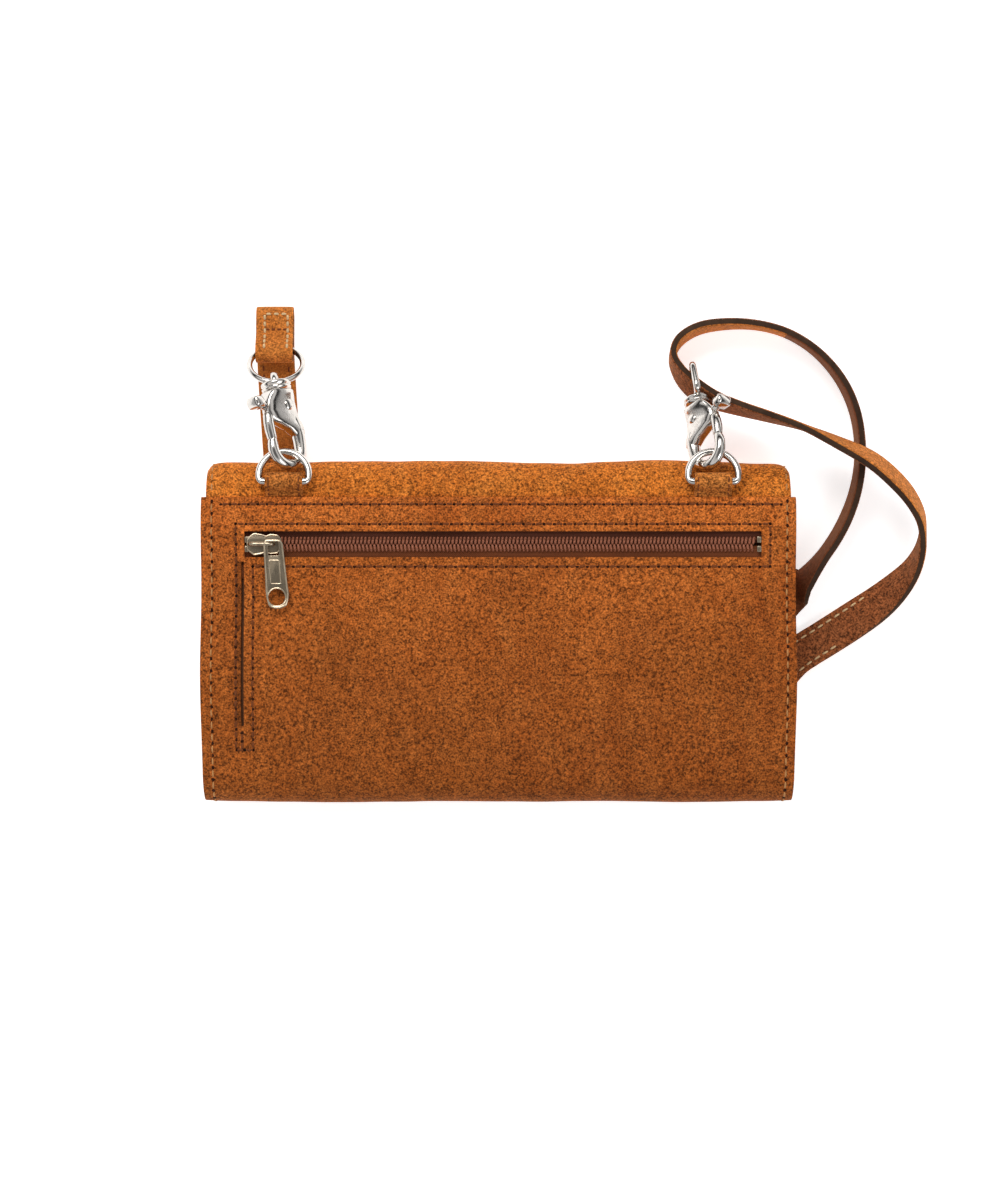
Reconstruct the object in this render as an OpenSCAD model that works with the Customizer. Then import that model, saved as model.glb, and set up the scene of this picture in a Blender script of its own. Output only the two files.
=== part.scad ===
// Suede wristlet wallet: a flap clutch lying back side up on its own strap.
// X runs along the spine, +Y towards the spine, +Z out of the back; Z = 0 is the table.

/* [Wallet body] */
// Width across the back panel
wallet_w = 199; // [165:1:240]
// Height from the bottom fold to the top of the spine
wallet_h = 114; // [95:1:140]
// Thickness of the closed wallet
wallet_t = 22; // [21:0.5:27]
// Thickness of the outer leather
leather_t = 1.3; // [1:0.1:1.6]
// Thickness of each cloth lining
lining_t = 0.6; // [0.4:0.1:0.8]
// How much narrower the spine band is on each side
spine_inset = 1.8; // [1:0.1:4]
// How much narrower the flap is on each side
flap_inset = 5; // [2:0.5:12]
// Length of the flap's flat part, from the spine's foot to its free end
flap_len = 70; // [55:1:72]
// Width of the spine band that shows above the back panel
spine_band = 11.8; // [10:0.2:14]
// Distance from the spine's top to the front panel's free edge
front_drop = 24; // [20:1:34]

/* [Pockets] */
// Depth of the phone compartment behind the front panel
phone_gap = 4.8; // [4.7:0.1:5.2]
// Thickness of each card pocket layer
card_t = 0.5; // [0.4:0.1:0.6]
// Room inside the coin pocket
coin_gap = 1.8; // [1.5:0.1:2.2]
// Step between the card pockets' top edges
card_step = 8; // [5:1:10]
// Length of the upright slip pocket's slit
slit_len = 54.7; // [40:0.1:60]
// Width of that slit
slit_w = 1; // [0.6:0.1:2]

/* [Zip] */
// Length of the zip window in the back panel
window_len = 172.6; // [140:0.2:180]
// Height of the zip window
window_h = 8.6; // [8:0.1:10]
// Distance from the spine's top to the zip's centre line
zip_drop = 27.6; // [26:0.1:34]
// Width of the closed coil chain
chain_w = 5.2; // [4.6:0.1:5.8]
// Thickness of the zip tape
tape_t = 0.6; // [0.5:0.1:0.8]
// Radius of the hole in the puller
puller_hole_r = 2.9; // [2.2:0.1:3.1]
// Thickness of the puller's plate
puller_t = 1.1; // [0.9:0.1:1.4]
// Length of the puller from its bridge to its tip
puller_len = 21.6; // [18:0.2:25]

/* [Hardware] */
// Width of the strap
strap_w = 12.7; // [10:0.1:13]
// Thickness of the strap
strap_t = 2.4; // [2:0.1:2.6]
// Width of each leather tab
tab_w = 12.5; // [10:0.1:13]
// Distance from the wallet's side to the middle of a tab
tab_in = 28; // [24:0.5:34]
// Radius of the D-ring wire
dring_wire_r = 1.2; // [1:0.05:1.3]
// Half the width of a D-ring, to the middle of its wire
dring_r = 8.3; // [7.8:0.1:9]
// Radius of the round ring's wire
oring_wire_r = 1; // [0.8:0.05:1.1]
// Radius of the round ring, to the middle of its wire
oring_r = 9; // [8:0.1:10]
// Radius of the snap hook's bowl, to the middle of its rod
bowl_r = 5; // [4.8:0.1:5.4]
// Radius of the snap hook's rod
rod_r = 1.25; // [1:0.05:1.3]
// Diameter of the magnetic snap
snap_d = 14; // [12:0.5:16]

/* [Clearances] */
// Gap between the strap and the flap that lies on it
rest_gap = 0.2; // [0.1:0.1:0.5]
// Gap between the closed flap and the front panel
flap_gap = 0.4; // [0.3:0.1:0.8]
// Gap at a hinge between two leathers
hinge_gap = 0.1; // [0.1:0.05:0.3]
// Radial clearance of a pin or wire in its hole
run_gap = 0.05; // [0.02:0.01:0.1]

/* [Hidden] */

$fn = 48;

leather = "peru";
suede_dark = "sienna";
cloth = "saddlebrown";
metal = "silver";
old_metal = "gray";

// Levels through the thickness, from the table up
z_flap = strap_t + rest_gap;
z_flap_lining = z_flap + leather_t;
flap_lining_t = 0.8;
z_front = z_flap_lining + flap_lining_t + flap_gap;
z_front_lining = z_front + leather_t;
z_phone = z_front_lining + lining_t;
z_cards = z_phone + phone_gap;
z_divider = z_cards + 3 * card_t;
z_coin = z_divider + lining_t;
z_coin_wall = z_coin + coin_gap;
z_bill = z_coin_wall + lining_t;
z_top = z_flap + wallet_t;
z_back = z_top - leather_t;
z_tape = z_back - 0.1 - tape_t;
plate_t = 0.7;
z_back_lining = z_tape - plate_t - 0.1 - lining_t;

// Places across the back
half_w = wallet_w / 2;
y_top = wallet_h / 2;
y_edge = y_top - spine_band;
spine_r = (z_back - z_flap) / 2;
y_spine = y_top - spine_r;
z_spine = z_flap + spine_r;
fold_r = (z_top - z_front) / 2;
y_fold = fold_r - y_top;
z_fold = z_front + fold_r;
spine_half = half_w - spine_inset;
flap_half = half_w - flap_inset;
y_flap_end = y_spine - flap_len;
y_front = y_top - front_drop;
inner_half = half_w - 11.5;
y_inner = y_fold + 2;
y_zip = y_top - zip_drop;
window_x = 1.5;
window_lo = window_x - window_len / 2;
window_hi = window_x + window_len / 2;
slit_x = window_lo - slit_w / 2 - 0.2;
slit_top = y_zip - window_h / 2 - 1.6;

// Tabs and D-rings
tab_x = half_w - tab_in;
tab_t = 0.9;
y_bar = y_edge + 5;
z_bar = z_back + 1.3 + tab_t + dring_wire_r;
dring_slope = 19;
dring_leg = 2.4;
dring_reach = dring_leg + dring_r;
y_seat = y_bar + dring_reach * cos(dring_slope);
z_seat = z_bar - dring_reach * sin(dring_slope);

// Zip slider and puller
tape_gap = 1;
coil_in = 0.6;
z_coil = z_tape + tape_t;
coil_t = 1.4;
slider_x = window_lo + 6.5;
z_plate = z_coil + coil_t + 0.1;
bridge_r = 0.75;
z_bridge = z_plate + plate_t + 0.9 + bridge_r;
y_bridge = y_zip;

// Snap hooks, in their own frame: bowl's centre at the origin, long axis +Y, gate on +X
hook_t = 3.6;
slot_lo = -0.65;
slot_hi = 1.05;
pivot = [-1.8, 11.3];
rivet_r = 0.9;
neck_r = 3.6;
stem_r = 1.2;
neck_lo = 15.5;
neck_hi = 17.8;
eye_wire_r = 1.2;
gate_reach = 10.35;
left_eye_r = 3.1;
left_eye_y = neck_hi + 0.3 + eye_wire_r + left_eye_r;
right_eye_w = 13.9;
right_eye_l = 7.3;
hook_roll = 45;
left_hook = [[-tab_x + 0.9, y_seat + 1.2, z_seat - 0.2], 10.6, -9.5];
right_hook = [[tab_x - 1.6, y_seat + 1, z_seat - 0.6], 9.4, -28];

// The round ring hangs between the left hook's eye and the strap's fold
oring_at = [-74.9, 90.15, 12.7];
oring_tilt = 46;

// Strap route: place, then how far its width is turned up from flat, in degrees
route = [[-75.8, 105.8, 1.2, 0], [-75.8, 94, 1.2, 0], [-75.1, 81, 1.2, 0], [-74.3, 69, 1.2, 0],
    [-73.5, 57, 1.2, 0], [-73, 45, 1.2, 0], [-72, 32, 1.2, 0], [-69, 16, 1.2, 0], [-64, 0, 1.2, 0],
    [-56, -16, 1.2, 0], [-44, -30, 1.2, 0], [-30, -39, 1.2, 0], [-14, -44.5, 1.2, 0],
    [4, -46.5, 1.2, 0], [22, -47, 1.2, 0], [40, -46.5, 1.2, 0], [57, -43.5, 1.2, 0],
    [72, -37, 1.2, 0], [84.5, -27, 1.2, 0], [93.5, -17, 1.2, 0], [99.8, -9.8, 1.2, 0],
    [105, -6, 1.3, 4], [110.8, -2.4, 1.8, 8], [120, 3.6, 3.4, 16], [129, 10, 5.2, 34],
    [136.2, 16.8, 6.8, 56], [140.8, 23.2, 8.2, 76], [143.1, 30.4, 10, 92], [142.5, 38, 12.6, 104],
    [138.6, 45.2, 15.4, 112], [132.4, 51.8, 18, 115], [124.4, 58, 20, 113], [113, 63.8, 20.2, 104],
    [102, 68.8, 18.4, 94], [91, 72.4, 15.8, 86], [81, 75.4, 13.4, 80], [73, 78.2, 12, 74],
    [66.4, 81.9, 11.1, 69], [61.4, 87, 9.6, 78], [59, 93, 7.8, 90], [61.2, 98.6, 6.8, 97],
    [68, 102.8, 6.6, 97], [78, 104.3, 6.6, 94], [88, 103.8, 6.6, 91], [97.5, 101.2, 6.6, 90],
    [106, 96.2, 6.6, 90], [112.8, 89.6, 6.6, 91], [117.8, 82, 6.6, 92], [121, 73.5, 6.6, 92],
    [122.4, 64.2, 6.5, 92], [122.2, 55, 6.5, 93], [120.4, 46, 6.5, 95], [117.4, 38, 6.5, 97],
    [113.6, 31, 6.5, 98], [109.2, 24.8, 6.5, 100], [104.6, 18.9, 6.38, 112],
    [103.1, 17.1, 5.88, 126], [101.8, 15.6, 4.74, 144], [100.7, 14.3, 3.34, 160],
    [99.7, 13, 2.11, 172], [98.5, 11.7, 1.53, 177], [97.3, 10.4, 1.2, 180], [95.4, 8.2, 1.2, 180],
    [90, 2, 1.2, 180], [83, -5.4, 1.2, 180], [75, -13, 1.2, 180], [66, -21, 1.2, 180],
    [58, -27.5, 1.2, 180], [50.5, -31.2, 1.3, 180], [44, -32.8, 2.5, 180], [38, -33.6, 3.8, 180],
    [30, -36.5, 3.8, 180], [20, -41, 3.8, 180], [8, -44.8, 3.8, 180], [-6, -45.6, 3.8, 180]];
return_end = 4;
under_end = 20;
wrist_end = 62;

// ---- helpers ----

// A slab between two corners
module slab(x0, x1, y0, y1, z0, z1) {
    translate([x0, y0, z0]) cube([x1 - x0, y1 - y0, z1 - z0]);
}

// A rod between two heights of the local Z axis, laid along X, Y or Z by the caller
module rod(r, length) {
    cylinder(r = r, h = length);
}

// A rectangle with rounded corners at its low Y side
module rounded_low(x0, x1, y0, y1, r) {
    square_part = [[x0, y0 + r], [x1, y1]];
    translate(square_part[0]) square([x1 - x0, y1 - y0 - r]);
    translate([x0 + r, y0]) square([x1 - x0 - 2 * r, r + 0.01]);
    for (x = [x0 + r, x1 - r]) translate([x, y0 + r]) circle(r);
}

// Half of a pipe along X: side = 1 opens to -Y, side = -1 opens to +Y
module half_pipe(r, t, width, y, z, side) {
    translate([-width / 2, y, z]) rotate([90, 0, 90]) linear_extrude(width)
        difference() {
            circle(r, $fn = 96);
            circle(r - t, $fn = 96);
            translate([side > 0 ? -2 * r : 0, -2 * r]) square([2 * r, 4 * r]);
        }
}

function unit(v) = v / norm(v);

// Tangent of a route at one of its points
function heading(p, i) =
    let (a = max(i - 1, 0), b = min(i + 1, len(p) - 1))
    unit([p[b][0] - p[a][0], p[b][1] - p[a][1], p[b][2] - p[a][2]]);

// The strap's section at a point: a flat bar with cut corners, eight sides
function ring_of(p, i) =
    let (
        t = heading(p, i),
        flat = unit([t[1], -t[0], 0]),
        up = cross(flat, t),
        a = p[i][3],
        wide = flat * cos(a) + up * sin(a),
        thick = cross(t, wide),
        w = strap_w / 2, h = strap_t / 2, c = 0.5
    )
    [for (q = [[w, h - c], [w - c, h], [c - w, h], [-w, h - c],
               [-w, c - h], [c - w, -h], [w - c, -h], [w, c - h]])
        [p[i][0], p[i][1], p[i][2]] + q[0] * wide + q[1] * thick];

// The strap swept along the route, from one of its points to another
module strap_along(first, last) {
    pts = [for (i = [first:last]) each ring_of(route, i)];
    n = last - first;
    sides = [for (i = [0:n - 1]) for (k = [0:7])
        let (a = 8 * i + k, b = 8 * i + (k + 1) % 8)
        each [[a, b, b + 8], [a, b + 8, a + 8]]];
    caps = [[for (k = [7:-1:0]) k], [for (k = [0:7]) 8 * n + k]];
    polyhedron(points = pts, faces = concat(sides, caps), convexity = 8);
}

// ---- leather shell ----

// Outer back leather, with the bottom fold turned round to the front
module back_panel() {
    color(leather) difference() {
        union() {
            slab(-half_w, half_w, y_fold, y_edge, z_back, z_top);
            half_pipe(fold_r, leather_t, wallet_w, y_fold, z_fold, -1);
        }
        slab(window_lo, window_hi, y_zip - window_h / 2, y_zip + window_h / 2, z_back - 1, z_top + 1);
        slab(slit_x - slit_w / 2, slit_x + slit_w / 2, slit_top - slit_len, slit_top,
            z_back - 1, z_top + 1);
    }
}

module front_panel() {
    color(leather) difference() {
        slab(-half_w, half_w, y_fold, y_front, z_front, z_front + leather_t);
        translate([0, y_snap, z_front - 1]) cylinder(r = snap_d / 2 + 0.1, h = leather_t + 2);
    }
}

// The spine band, from the flap's hinge line round to its seam under the back panel
module spine_leather() {
    color(leather) difference() {
        union() {
            half_pipe(spine_r, leather_t, 2 * spine_half, y_spine, z_spine, 1);
            slab(-spine_half, spine_half, y_edge - 6.8, y_spine, z_back - leather_t, z_back);
        }
        slab(-half_w, half_w, y_spine - 1, y_spine + hinge_gap / 2, z_flap - 1, z_flap + leather_t + 1);
        for (s = [-1, 1])
            slab(s * tab_x - tab_w / 2 - 0.2, s * tab_x + tab_w / 2 + 0.2, y_edge - 8, y_edge + 3.4,
                z_back - leather_t - 1, z_back + 1);
    }
}

module spine_lining() {
    color(cloth) difference() {
        half_pipe(spine_r - leather_t, lining_t, 2 * inner_half, y_spine, z_spine, 1);
        slab(-half_w, half_w, y_spine - 1, y_spine + 1.2, z_flap, z_flap + 4);
        slab(-half_w, half_w, y_spine - 1, y_spine + 1, z_back_lining, z_back);
    }
}

module back_lining() {
    color(cloth) slab(-inner_half, inner_half, y_inner, y_edge - 7.4, z_back_lining,
        z_back_lining + lining_t);
}

module front_lining() {
    color(cloth) difference() {
        slab(-inner_half, inner_half, y_inner, y_front - 0.5, z_front_lining, z_front_lining + lining_t);
        translate([0, y_snap, z_front_lining - 1]) cylinder(r = snap_d / 2 + 0.1, h = lining_t + 2);
    }
}

// ---- back pockets ----

// Bag of the zip pocket, hung from the lower tape
module zip_pocket_lining() {
    color(cloth) slab(-inner_half, inner_half, y_inner, y_zip - 5.4, z_tape - 0.45, z_tape - 0.05);
}

// Bag of the upright slip pocket, sewn beside its slit
module slip_pocket_lining() {
    color(cloth) slab(slit_x + 0.4, slit_x + 62, slit_top - slit_len - 2, y_zip - 14, z_tape + 0.1,
        z_tape + 0.5);
}

module zip_tape(side) {
    wide = side > 0 ? 7.4 : 11;
    y0 = side > 0 ? y_zip + tape_gap / 2 : y_zip - tape_gap / 2 - wide;
    slab(window_lo - 3.4, window_hi + 3, y0, y0 + wide, z_tape, z_tape + tape_t);
}

module zip_coil(side) {
    y0 = side > 0 ? y_zip + coil_in : y_zip - chain_w / 2;
    slab(window_lo + 1.6, window_hi - 1.6, y0, y0 + chain_w / 2 - coil_in, z_coil, z_coil + coil_t);
}

module zip_tape_upper() { color(cloth) zip_tape(1); }
module zip_tape_lower() { color(cloth) zip_tape(-1); }
module zip_coil_upper() { color(cloth) zip_coil(1); }
module zip_coil_lower() { color(cloth) zip_coil(-1); }

// Metal stops beyond both ends of the coil
module zip_stops() {
    color(old_metal) for (x = [window_lo + 0.1, window_hi - 1.5]) for (s = [-1, 1]) {
        y0 = s > 0 ? y_zip + coil_in : y_zip - chain_w / 2;
        slab(x, x + 1.4, y0, y0 + chain_w / 2 - coil_in, z_coil, z_coil + coil_t);
    }
}

// Slider: two plates joined by a post between the tapes, with a bridge for the puller
module slider_shape(x, y, z0, z1, wide, long) {
    for (z = [z0, z1 - plate_t]) translate([0, 0, z]) linear_extrude(plate_t) {
        for (e = [0, 1]) translate([x + e * (long - wide), y]) circle(wide / 2);
        translate([x, y - wide / 2]) square([long - wide, wide]);
    }
    slab(x - 0.4, x + 2, y - 0.35, y + 0.35, z0 + 0.1, z1 - 0.1);
}

module zip_slider() {
    color(old_metal) {
        slider_shape(slider_x - 2.1, y_zip, z_tape - plate_t - 0.05, z_plate + plate_t, 6.8, 10.8);
        translate([slider_x - 4.4, y_bridge, z_bridge]) rotate([0, 90, 0]) rod(bridge_r, 10.6);
        for (x = [slider_x - 4.4, slider_x + 2])
            slab(x, x + 1.3, y_bridge - bridge_r, y_bridge + bridge_r, z_plate + 0.2, z_bridge);
    }
}

// Puller: a plate that widens to its end, with a round hole, hung on the bridge by two eyes
module zip_puller() {
    z0 = z_bridge - puller_t / 2;
    hole_y = -puller_len + 3.9;
    color(old_metal) difference() {
        union() {
            translate([0, 0, z0]) linear_extrude(puller_t) difference() {
                polygon([[slider_x + 0.1, y_bridge - 1], [slider_x + 6, y_bridge - 1],
                    [slider_x + 8.6, y_bridge - puller_len + 3], [slider_x + 7.2, y_bridge - puller_len],
                    [slider_x + 1.8, y_bridge - puller_len], [slider_x + 0.4, y_bridge - puller_len + 3]]);
                translate([slider_x + 1.3, y_bridge - 6.4]) square([3.5, 9]);
            }
            for (x = [slider_x + 0.1, slider_x + 4.8])
                translate([x, y_bridge, z_bridge]) rotate([0, 90, 0]) rod(bridge_r + 0.75, 1.2);
        }
        translate([slider_x - 6, y_bridge, z_bridge]) rotate([0, 90, 0]) rod(bridge_r + run_gap, 20);
        translate([slider_x + 4.5, y_bridge + hole_y, z0 - 1]) cylinder(r = puller_hole_r, h = puller_t + 2);
    }
}

// ---- inside ----

// Pleated side wall between the front and the back
module gusset(side) {
    n = 4;
    lo = z_front_lining;
    hi = z_back;
    x_out = half_w - 2.2;
    x_in = inner_half + 1.2;
    zs = [for (i = [0:n]) lo + (hi - lo) * i / n];
    xs = [for (i = [0:n]) i % 2 == 0 ? x_out : x_in];
    t = lining_t;
    outline = concat([for (i = [0:n]) [xs[i], zs[i]]], [for (i = [n:-1:0]) [xs[i] - t, zs[i]]]);
    color(suede_dark) translate([0, y_front - 3, 0]) rotate([90, 0, 0]) linear_extrude(y_front - 3 - y_inner)
        polygon([for (q = outline) [side * q[0], q[1]]]);
}

module gusset_left() { gusset(-1); }
module gusset_right() { gusset(1); }

module inner_sheet(y_end, z, t) {
    slab(-inner_half, inner_half, y_inner, y_end, z, z + t);
}

module divider_panel() { color(suede_dark) inner_sheet(y_front + 3, z_divider, lining_t); }
module card_pocket_low() { color(leather) inner_sheet(y_front - 2 - 3 * card_step, z_cards, card_t); }
module card_pocket_middle() {
    color(leather) inner_sheet(y_front - 2 - 2 * card_step, z_cards + card_t, card_t);
}
module card_pocket_high() {
    color(leather) inner_sheet(y_front - 2 - card_step, z_cards + 2 * card_t, card_t);
}
module coin_pocket_wall() { color(suede_dark) inner_sheet(y_coin_zip - 6.5, z_coin_wall, lining_t); }

// The coin pocket's zip closes its mouth between the wall and the divider
y_coin_zip = y_front - 5;
z_coin_tape = z_coin_wall - 0.7;
coin_chain = 4;
y_snap = y_flap_end + 12;

module coin_zip_tape() {
    color(cloth) for (s = [-1, 1])
        slab(-inner_half, inner_half, s > 0 ? y_coin_zip + 0.5 : y_coin_zip - 6.4,
            s > 0 ? y_coin_zip + 6.4 : y_coin_zip - 0.5, z_coin_tape - 0.2, z_coin_tape + 0.2);
}
module coin_zip_coil() {
    color(cloth) for (s = [-1, 1])
        slab(-inner_half + 3, inner_half - 3, s > 0 ? y_coin_zip + 0.6 : y_coin_zip - coin_chain / 2,
            s > 0 ? y_coin_zip + coin_chain / 2 : y_coin_zip - 0.6, z_coin_tape + 0.2, z_coin_tape + 1);
}
module coin_zip_stops() {
    color(old_metal) for (x = [1.2 - inner_half, inner_half - 2.8]) for (s = [-1, 1])
        slab(x, x + 1.6, s > 0 ? y_coin_zip + 0.6 : y_coin_zip - coin_chain / 2,
            s > 0 ? y_coin_zip + coin_chain / 2 : y_coin_zip - 0.6, z_coin_tape + 0.2, z_coin_tape + 1);
}
module coin_zip_slider() {
    x = 8 - inner_half;
    color(old_metal) {
        translate([0, 0, z_coin_tape - 0.8]) linear_extrude(0.5) translate([x - 2.6, y_coin_zip - 2.6])
            square([8, 5.2]);
        translate([0, 0, z_coin_tape + 1.1]) linear_extrude(0.5) translate([x - 2.6, y_coin_zip - 2.6])
            square([8, 5.2]);
        slab(x - 2, x + 0.4, y_coin_zip - 0.35, y_coin_zip + 0.35, z_coin_tape - 0.5, z_coin_tape + 1.3);
        translate([x - 2.2, y_coin_zip - 1, z_coin_bridge]) rotate([0, 90, 0]) rod(0.35, 7.2);
        for (e = [x - 2.4, x + 4.4])
            slab(e, e + 0.8, y_coin_zip - 1.4, y_coin_zip - 0.6, z_coin_tape + 1.4, z_coin_bridge + 0.35);
    }
}

// Small flat puller whose eye turns on the slider's bridge
z_coin_bridge = z_coin_tape + 2.4;
module coin_zip_puller() {
    x = 8 - inner_half;
    color(old_metal) difference() {
        union() {
            slab(x - 1, x + 3.8, y_coin_zip - 14, y_coin_zip - 1, z_coin_bridge - 0.35, z_coin_bridge + 0.35);
            translate([x - 1, y_coin_zip - 1, z_coin_bridge]) rotate([0, 90, 0]) rod(0.75, 4.8);
        }
        translate([x - 3, y_coin_zip - 1, z_coin_bridge]) rotate([0, 90, 0]) rod(0.35 + run_gap, 9);
        translate([x + 1.4, y_coin_zip - 11, z_coin_wall]) cylinder(r = 1.2, h = 6);
    }
}

// ---- flap ----

module flap_leather() {
    color(leather) translate([0, 0, z_flap]) linear_extrude(leather_t)
        rounded_low(-flap_half, flap_half, y_flap_end, y_spine - hinge_gap / 2, 12);
}

module flap_lining() {
    color(cloth) translate([0, 0, z_flap_lining]) linear_extrude(flap_lining_t) difference() {
        rounded_low(2.5 - flap_half, flap_half - 2.5, y_flap_end + 2, y_spine - 1, 10);
        translate([0, y_snap]) circle(snap_d / 2 + 0.1);
    }
}

// Magnetic snap: stud on the flap, socket in the front panel, washer behind it
module snap_stud() {
    color(metal) translate([0, y_snap, z_flap_lining + 0.02]) {
        cylinder(r = snap_d / 2, h = flap_lining_t);
        cylinder(r = 2.3, h = flap_lining_t + 1.2);
    }
}
module snap_socket() {
    color(metal) translate([0, y_snap, z_front]) difference() {
        cylinder(r = snap_d / 2, h = leather_t + lining_t);
        translate([0, 0, -1]) cylinder(r = 2.8, h = 2.2);
    }
}
module snap_washer() {
    color(metal) translate([0, y_snap, z_phone]) difference() {
        cylinder(r = snap_d / 2 - 1, h = 0.5);
        translate([0, 0, -1]) cylinder(r = 2, h = 3);
    }
}

// ---- D-rings on their tabs ----

// A leather loop round the D-ring's bar, its two ends sewn under the back panel
module d_tab(side) {
    color(leather) translate([side * tab_x - tab_w / 2, 0, 0]) difference() {
        hull() {
            translate([0, y_bar, z_bar]) rotate([0, 90, 0]) cylinder(r = dring_wire_r + tab_t, h = tab_w, $fn = 32);
            slab(0, tab_w, y_edge - 0.6, y_edge, z_back - 1.2, z_back - 0.02);
        }
        slab(-1, tab_w + 1, y_edge - 3, y_edge + 0.02, z_back - 0.02, z_top + 5);
        slab(-1, tab_w + 1, y_edge - 3, y_edge + 0.3, z_back - 0.02, z_top + 0.15);
        translate([-1, y_bar, z_bar]) rotate([0, 90, 0]) cylinder(r = dring_wire_r + run_gap, h = tab_w + 2);
    }
}
module d_tab_left() { d_tab(-1); }
module d_tab_right() { d_tab(1); }

// Bar, two legs and a half circle of wire
module d_ring(side) {
    color(metal) translate([side * tab_x, y_bar, z_bar]) rotate([-dring_slope, 0, 0]) {
        translate([-dring_r, 0, 0]) rotate([0, 90, 0]) rod(dring_wire_r, 2 * dring_r);
        for (s = [-1, 1]) {
            translate([s * dring_r, 0, 0]) sphere(dring_wire_r);
            translate([s * dring_r, 0, 0]) rotate([-90, 0, 0]) rod(dring_wire_r, dring_leg);
        }
        translate([0, dring_leg, 0]) rotate_extrude(angle = 180) translate([dring_r, 0]) circle(dring_wire_r);
    }
}
module d_ring_left() { d_ring(-1); }
module d_ring_right() { d_ring(1); }

// ---- snap hooks ----

// Puts a hook's own frame where the hook lies; the left one has its gate on -X
module at_hook(side) {
    h = side < 0 ? left_hook : right_hook;
    translate(h[0]) rotate([0, 0, h[1]]) rotate([h[2], 0, 0]) rotate([0, -side * hook_roll, 0])
        mirror([side < 0 ? 1 : 0, 0, 0]) children();
}

module hook_casting() {
    difference() {
        union() {
            rotate([0, 0, 180]) rotate_extrude(angle = 180) translate([bowl_r, 0]) circle(rod_r);
            difference() {
                translate([bowl_r, 0, 0]) rotate([-90, 0, 0]) rod(rod_r, 6);
                translate([pivot[0], pivot[1], -3]) rod(gate_reach + 0.15, 6);
            }
            translate([-bowl_r, 0, 0]) rotate([-90, 0, 0]) rod(rod_r, 7);
            translate([0, 0, -hook_t / 2]) linear_extrude(hook_t)
                polygon([[-6.2, 5.4], [-4.4, 5.4], [-1.2, 7.6], [4.2, 9.2], [4.9, 11.8], [4.2, neck_lo + 1],
                    [-4.2, neck_lo + 1], [-6, 12.2]]);
            translate([0, neck_lo, 0]) rotate([-90, 0, 0]) rod(neck_r, neck_hi - neck_lo);
        }
        translate([-4.3, 6.9, slot_lo]) cube([12, 6.6, slot_hi - slot_lo]);
        translate([-2.4, 13.9, -5]) cube([4.8, 1.7, 10]);
        translate([0, 13, 0]) rotate([-90, 0, 0]) rod(stem_r + run_gap, 9);
        translate([pivot[0], pivot[1], -5]) rod(rivet_r, 10);
    }
}

// The lever: a disc round the rivet, a thumb tab, and the gate that closes the bowl
module trigger_lever() {
    t = 1.1;
    difference() {
        union() {
            translate([0, 0, -t / 2]) linear_extrude(t) {
                translate(pivot) circle(2);
                polygon([[-1.8, 13.3], [-1.8, 9.3], [2, 9.1], [3.8, 7.2], [6.2, 7.2], [6.2, 10.6], [9.2, 11.6],
                    [9.6, 13.6], [5, 13]]);
            }
            intersection() {
                translate([bowl_r, 1, 0]) rotate([-90, 0, 0]) rod(rod_r - 0.1, 7.4);
                translate([pivot[0], pivot[1], -3]) rod(gate_reach, 6);
            }
            translate([8, 11.4, -2]) cube([1.6, 2.2, 4]);
        }
        translate([pivot[0], pivot[1], -3]) rod(rivet_r + run_gap, 6);
    }
}

module swivel_eye(side) {
    translate([0, 14.1, 0]) rotate([-90, 0, 0]) rod(2, 0.9);
    translate([0, 14.5, 0]) rotate([-90, 0, 0]) rod(stem_r, neck_hi + 1 - 14.5);
    if (side < 0) {
        translate([0, left_eye_y, 0]) rotate([0, hook_roll - 90, 0]) rotate_extrude()
            translate([left_eye_r, 0]) circle(eye_wire_r);
    } else {
        r = eye_wire_r;
        y0 = neck_hi + 0.4 + r;
        y1 = y0 + right_eye_l + 2 * r;
        half = right_eye_w / 2 + r;
        rotate([0, hook_roll, 0]) {
            for (y = [y0, y1]) translate([0, y, -half + 2]) rod(r, 2 * half - 4);
            for (s = [-1, 1]) {
                translate([0, y0 + 2, s * half]) rotate([-90, 0, 0]) rod(r, y1 - y0 - 4);
                for (e = [0, 1]) translate([0, e > 0 ? y1 - 2 : y0 + 2, s * (half - 2)])
                    rotate([0, 90, 0]) rotate([0, 0, s > 0 ? (e > 0 ? 90 : 180) : (e > 0 ? 0 : 270)])
                        rotate_extrude(angle = 90) translate([2, 0]) circle(r);
            }
        }
    }
}

module trigger_spring(side) {
    color(old_metal) at_hook(side) translate([pivot[0], pivot[1], 0.62]) difference() {
        cylinder(r = 1.7, h = 0.36);
        translate([0, 0, -1]) cylinder(r = 1.1, h = 3);
    }
}
module trigger_rivet(side) {
    color(metal) at_hook(side) translate([pivot[0], pivot[1], 0]) {
        translate([0, 0, -hook_t / 2]) rod(rivet_r, hook_t);
        for (s = [-1, 1]) translate([0, 0, s > 0 ? hook_t / 2 : -hook_t / 2 - 0.4]) rod(1.5, 0.4);
    }
}

module hook_left() { color(metal) at_hook(-1) hook_casting(); }
module hook_right() { color(metal) at_hook(1) hook_casting(); }
module trigger_left() { color(metal) at_hook(-1) trigger_lever(); }
module trigger_right() { color(metal) at_hook(1) trigger_lever(); }
module trigger_spring_left() { trigger_spring(-1); }
module trigger_spring_right() { trigger_spring(1); }
module trigger_rivet_left() { trigger_rivet(-1); }
module trigger_rivet_right() { trigger_rivet(1); }
module swivel_eye_left() { color(metal) at_hook(-1) swivel_eye(-1); }
module swivel_eye_right() { color(metal) at_hook(1) swivel_eye(1); }

module o_ring() {
    color(metal) translate(oring_at) rotate([-oring_tilt, 0, 0]) rotate_extrude(convexity = 4)
        translate([oring_r, 0]) circle(oring_wire_r);
}

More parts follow.
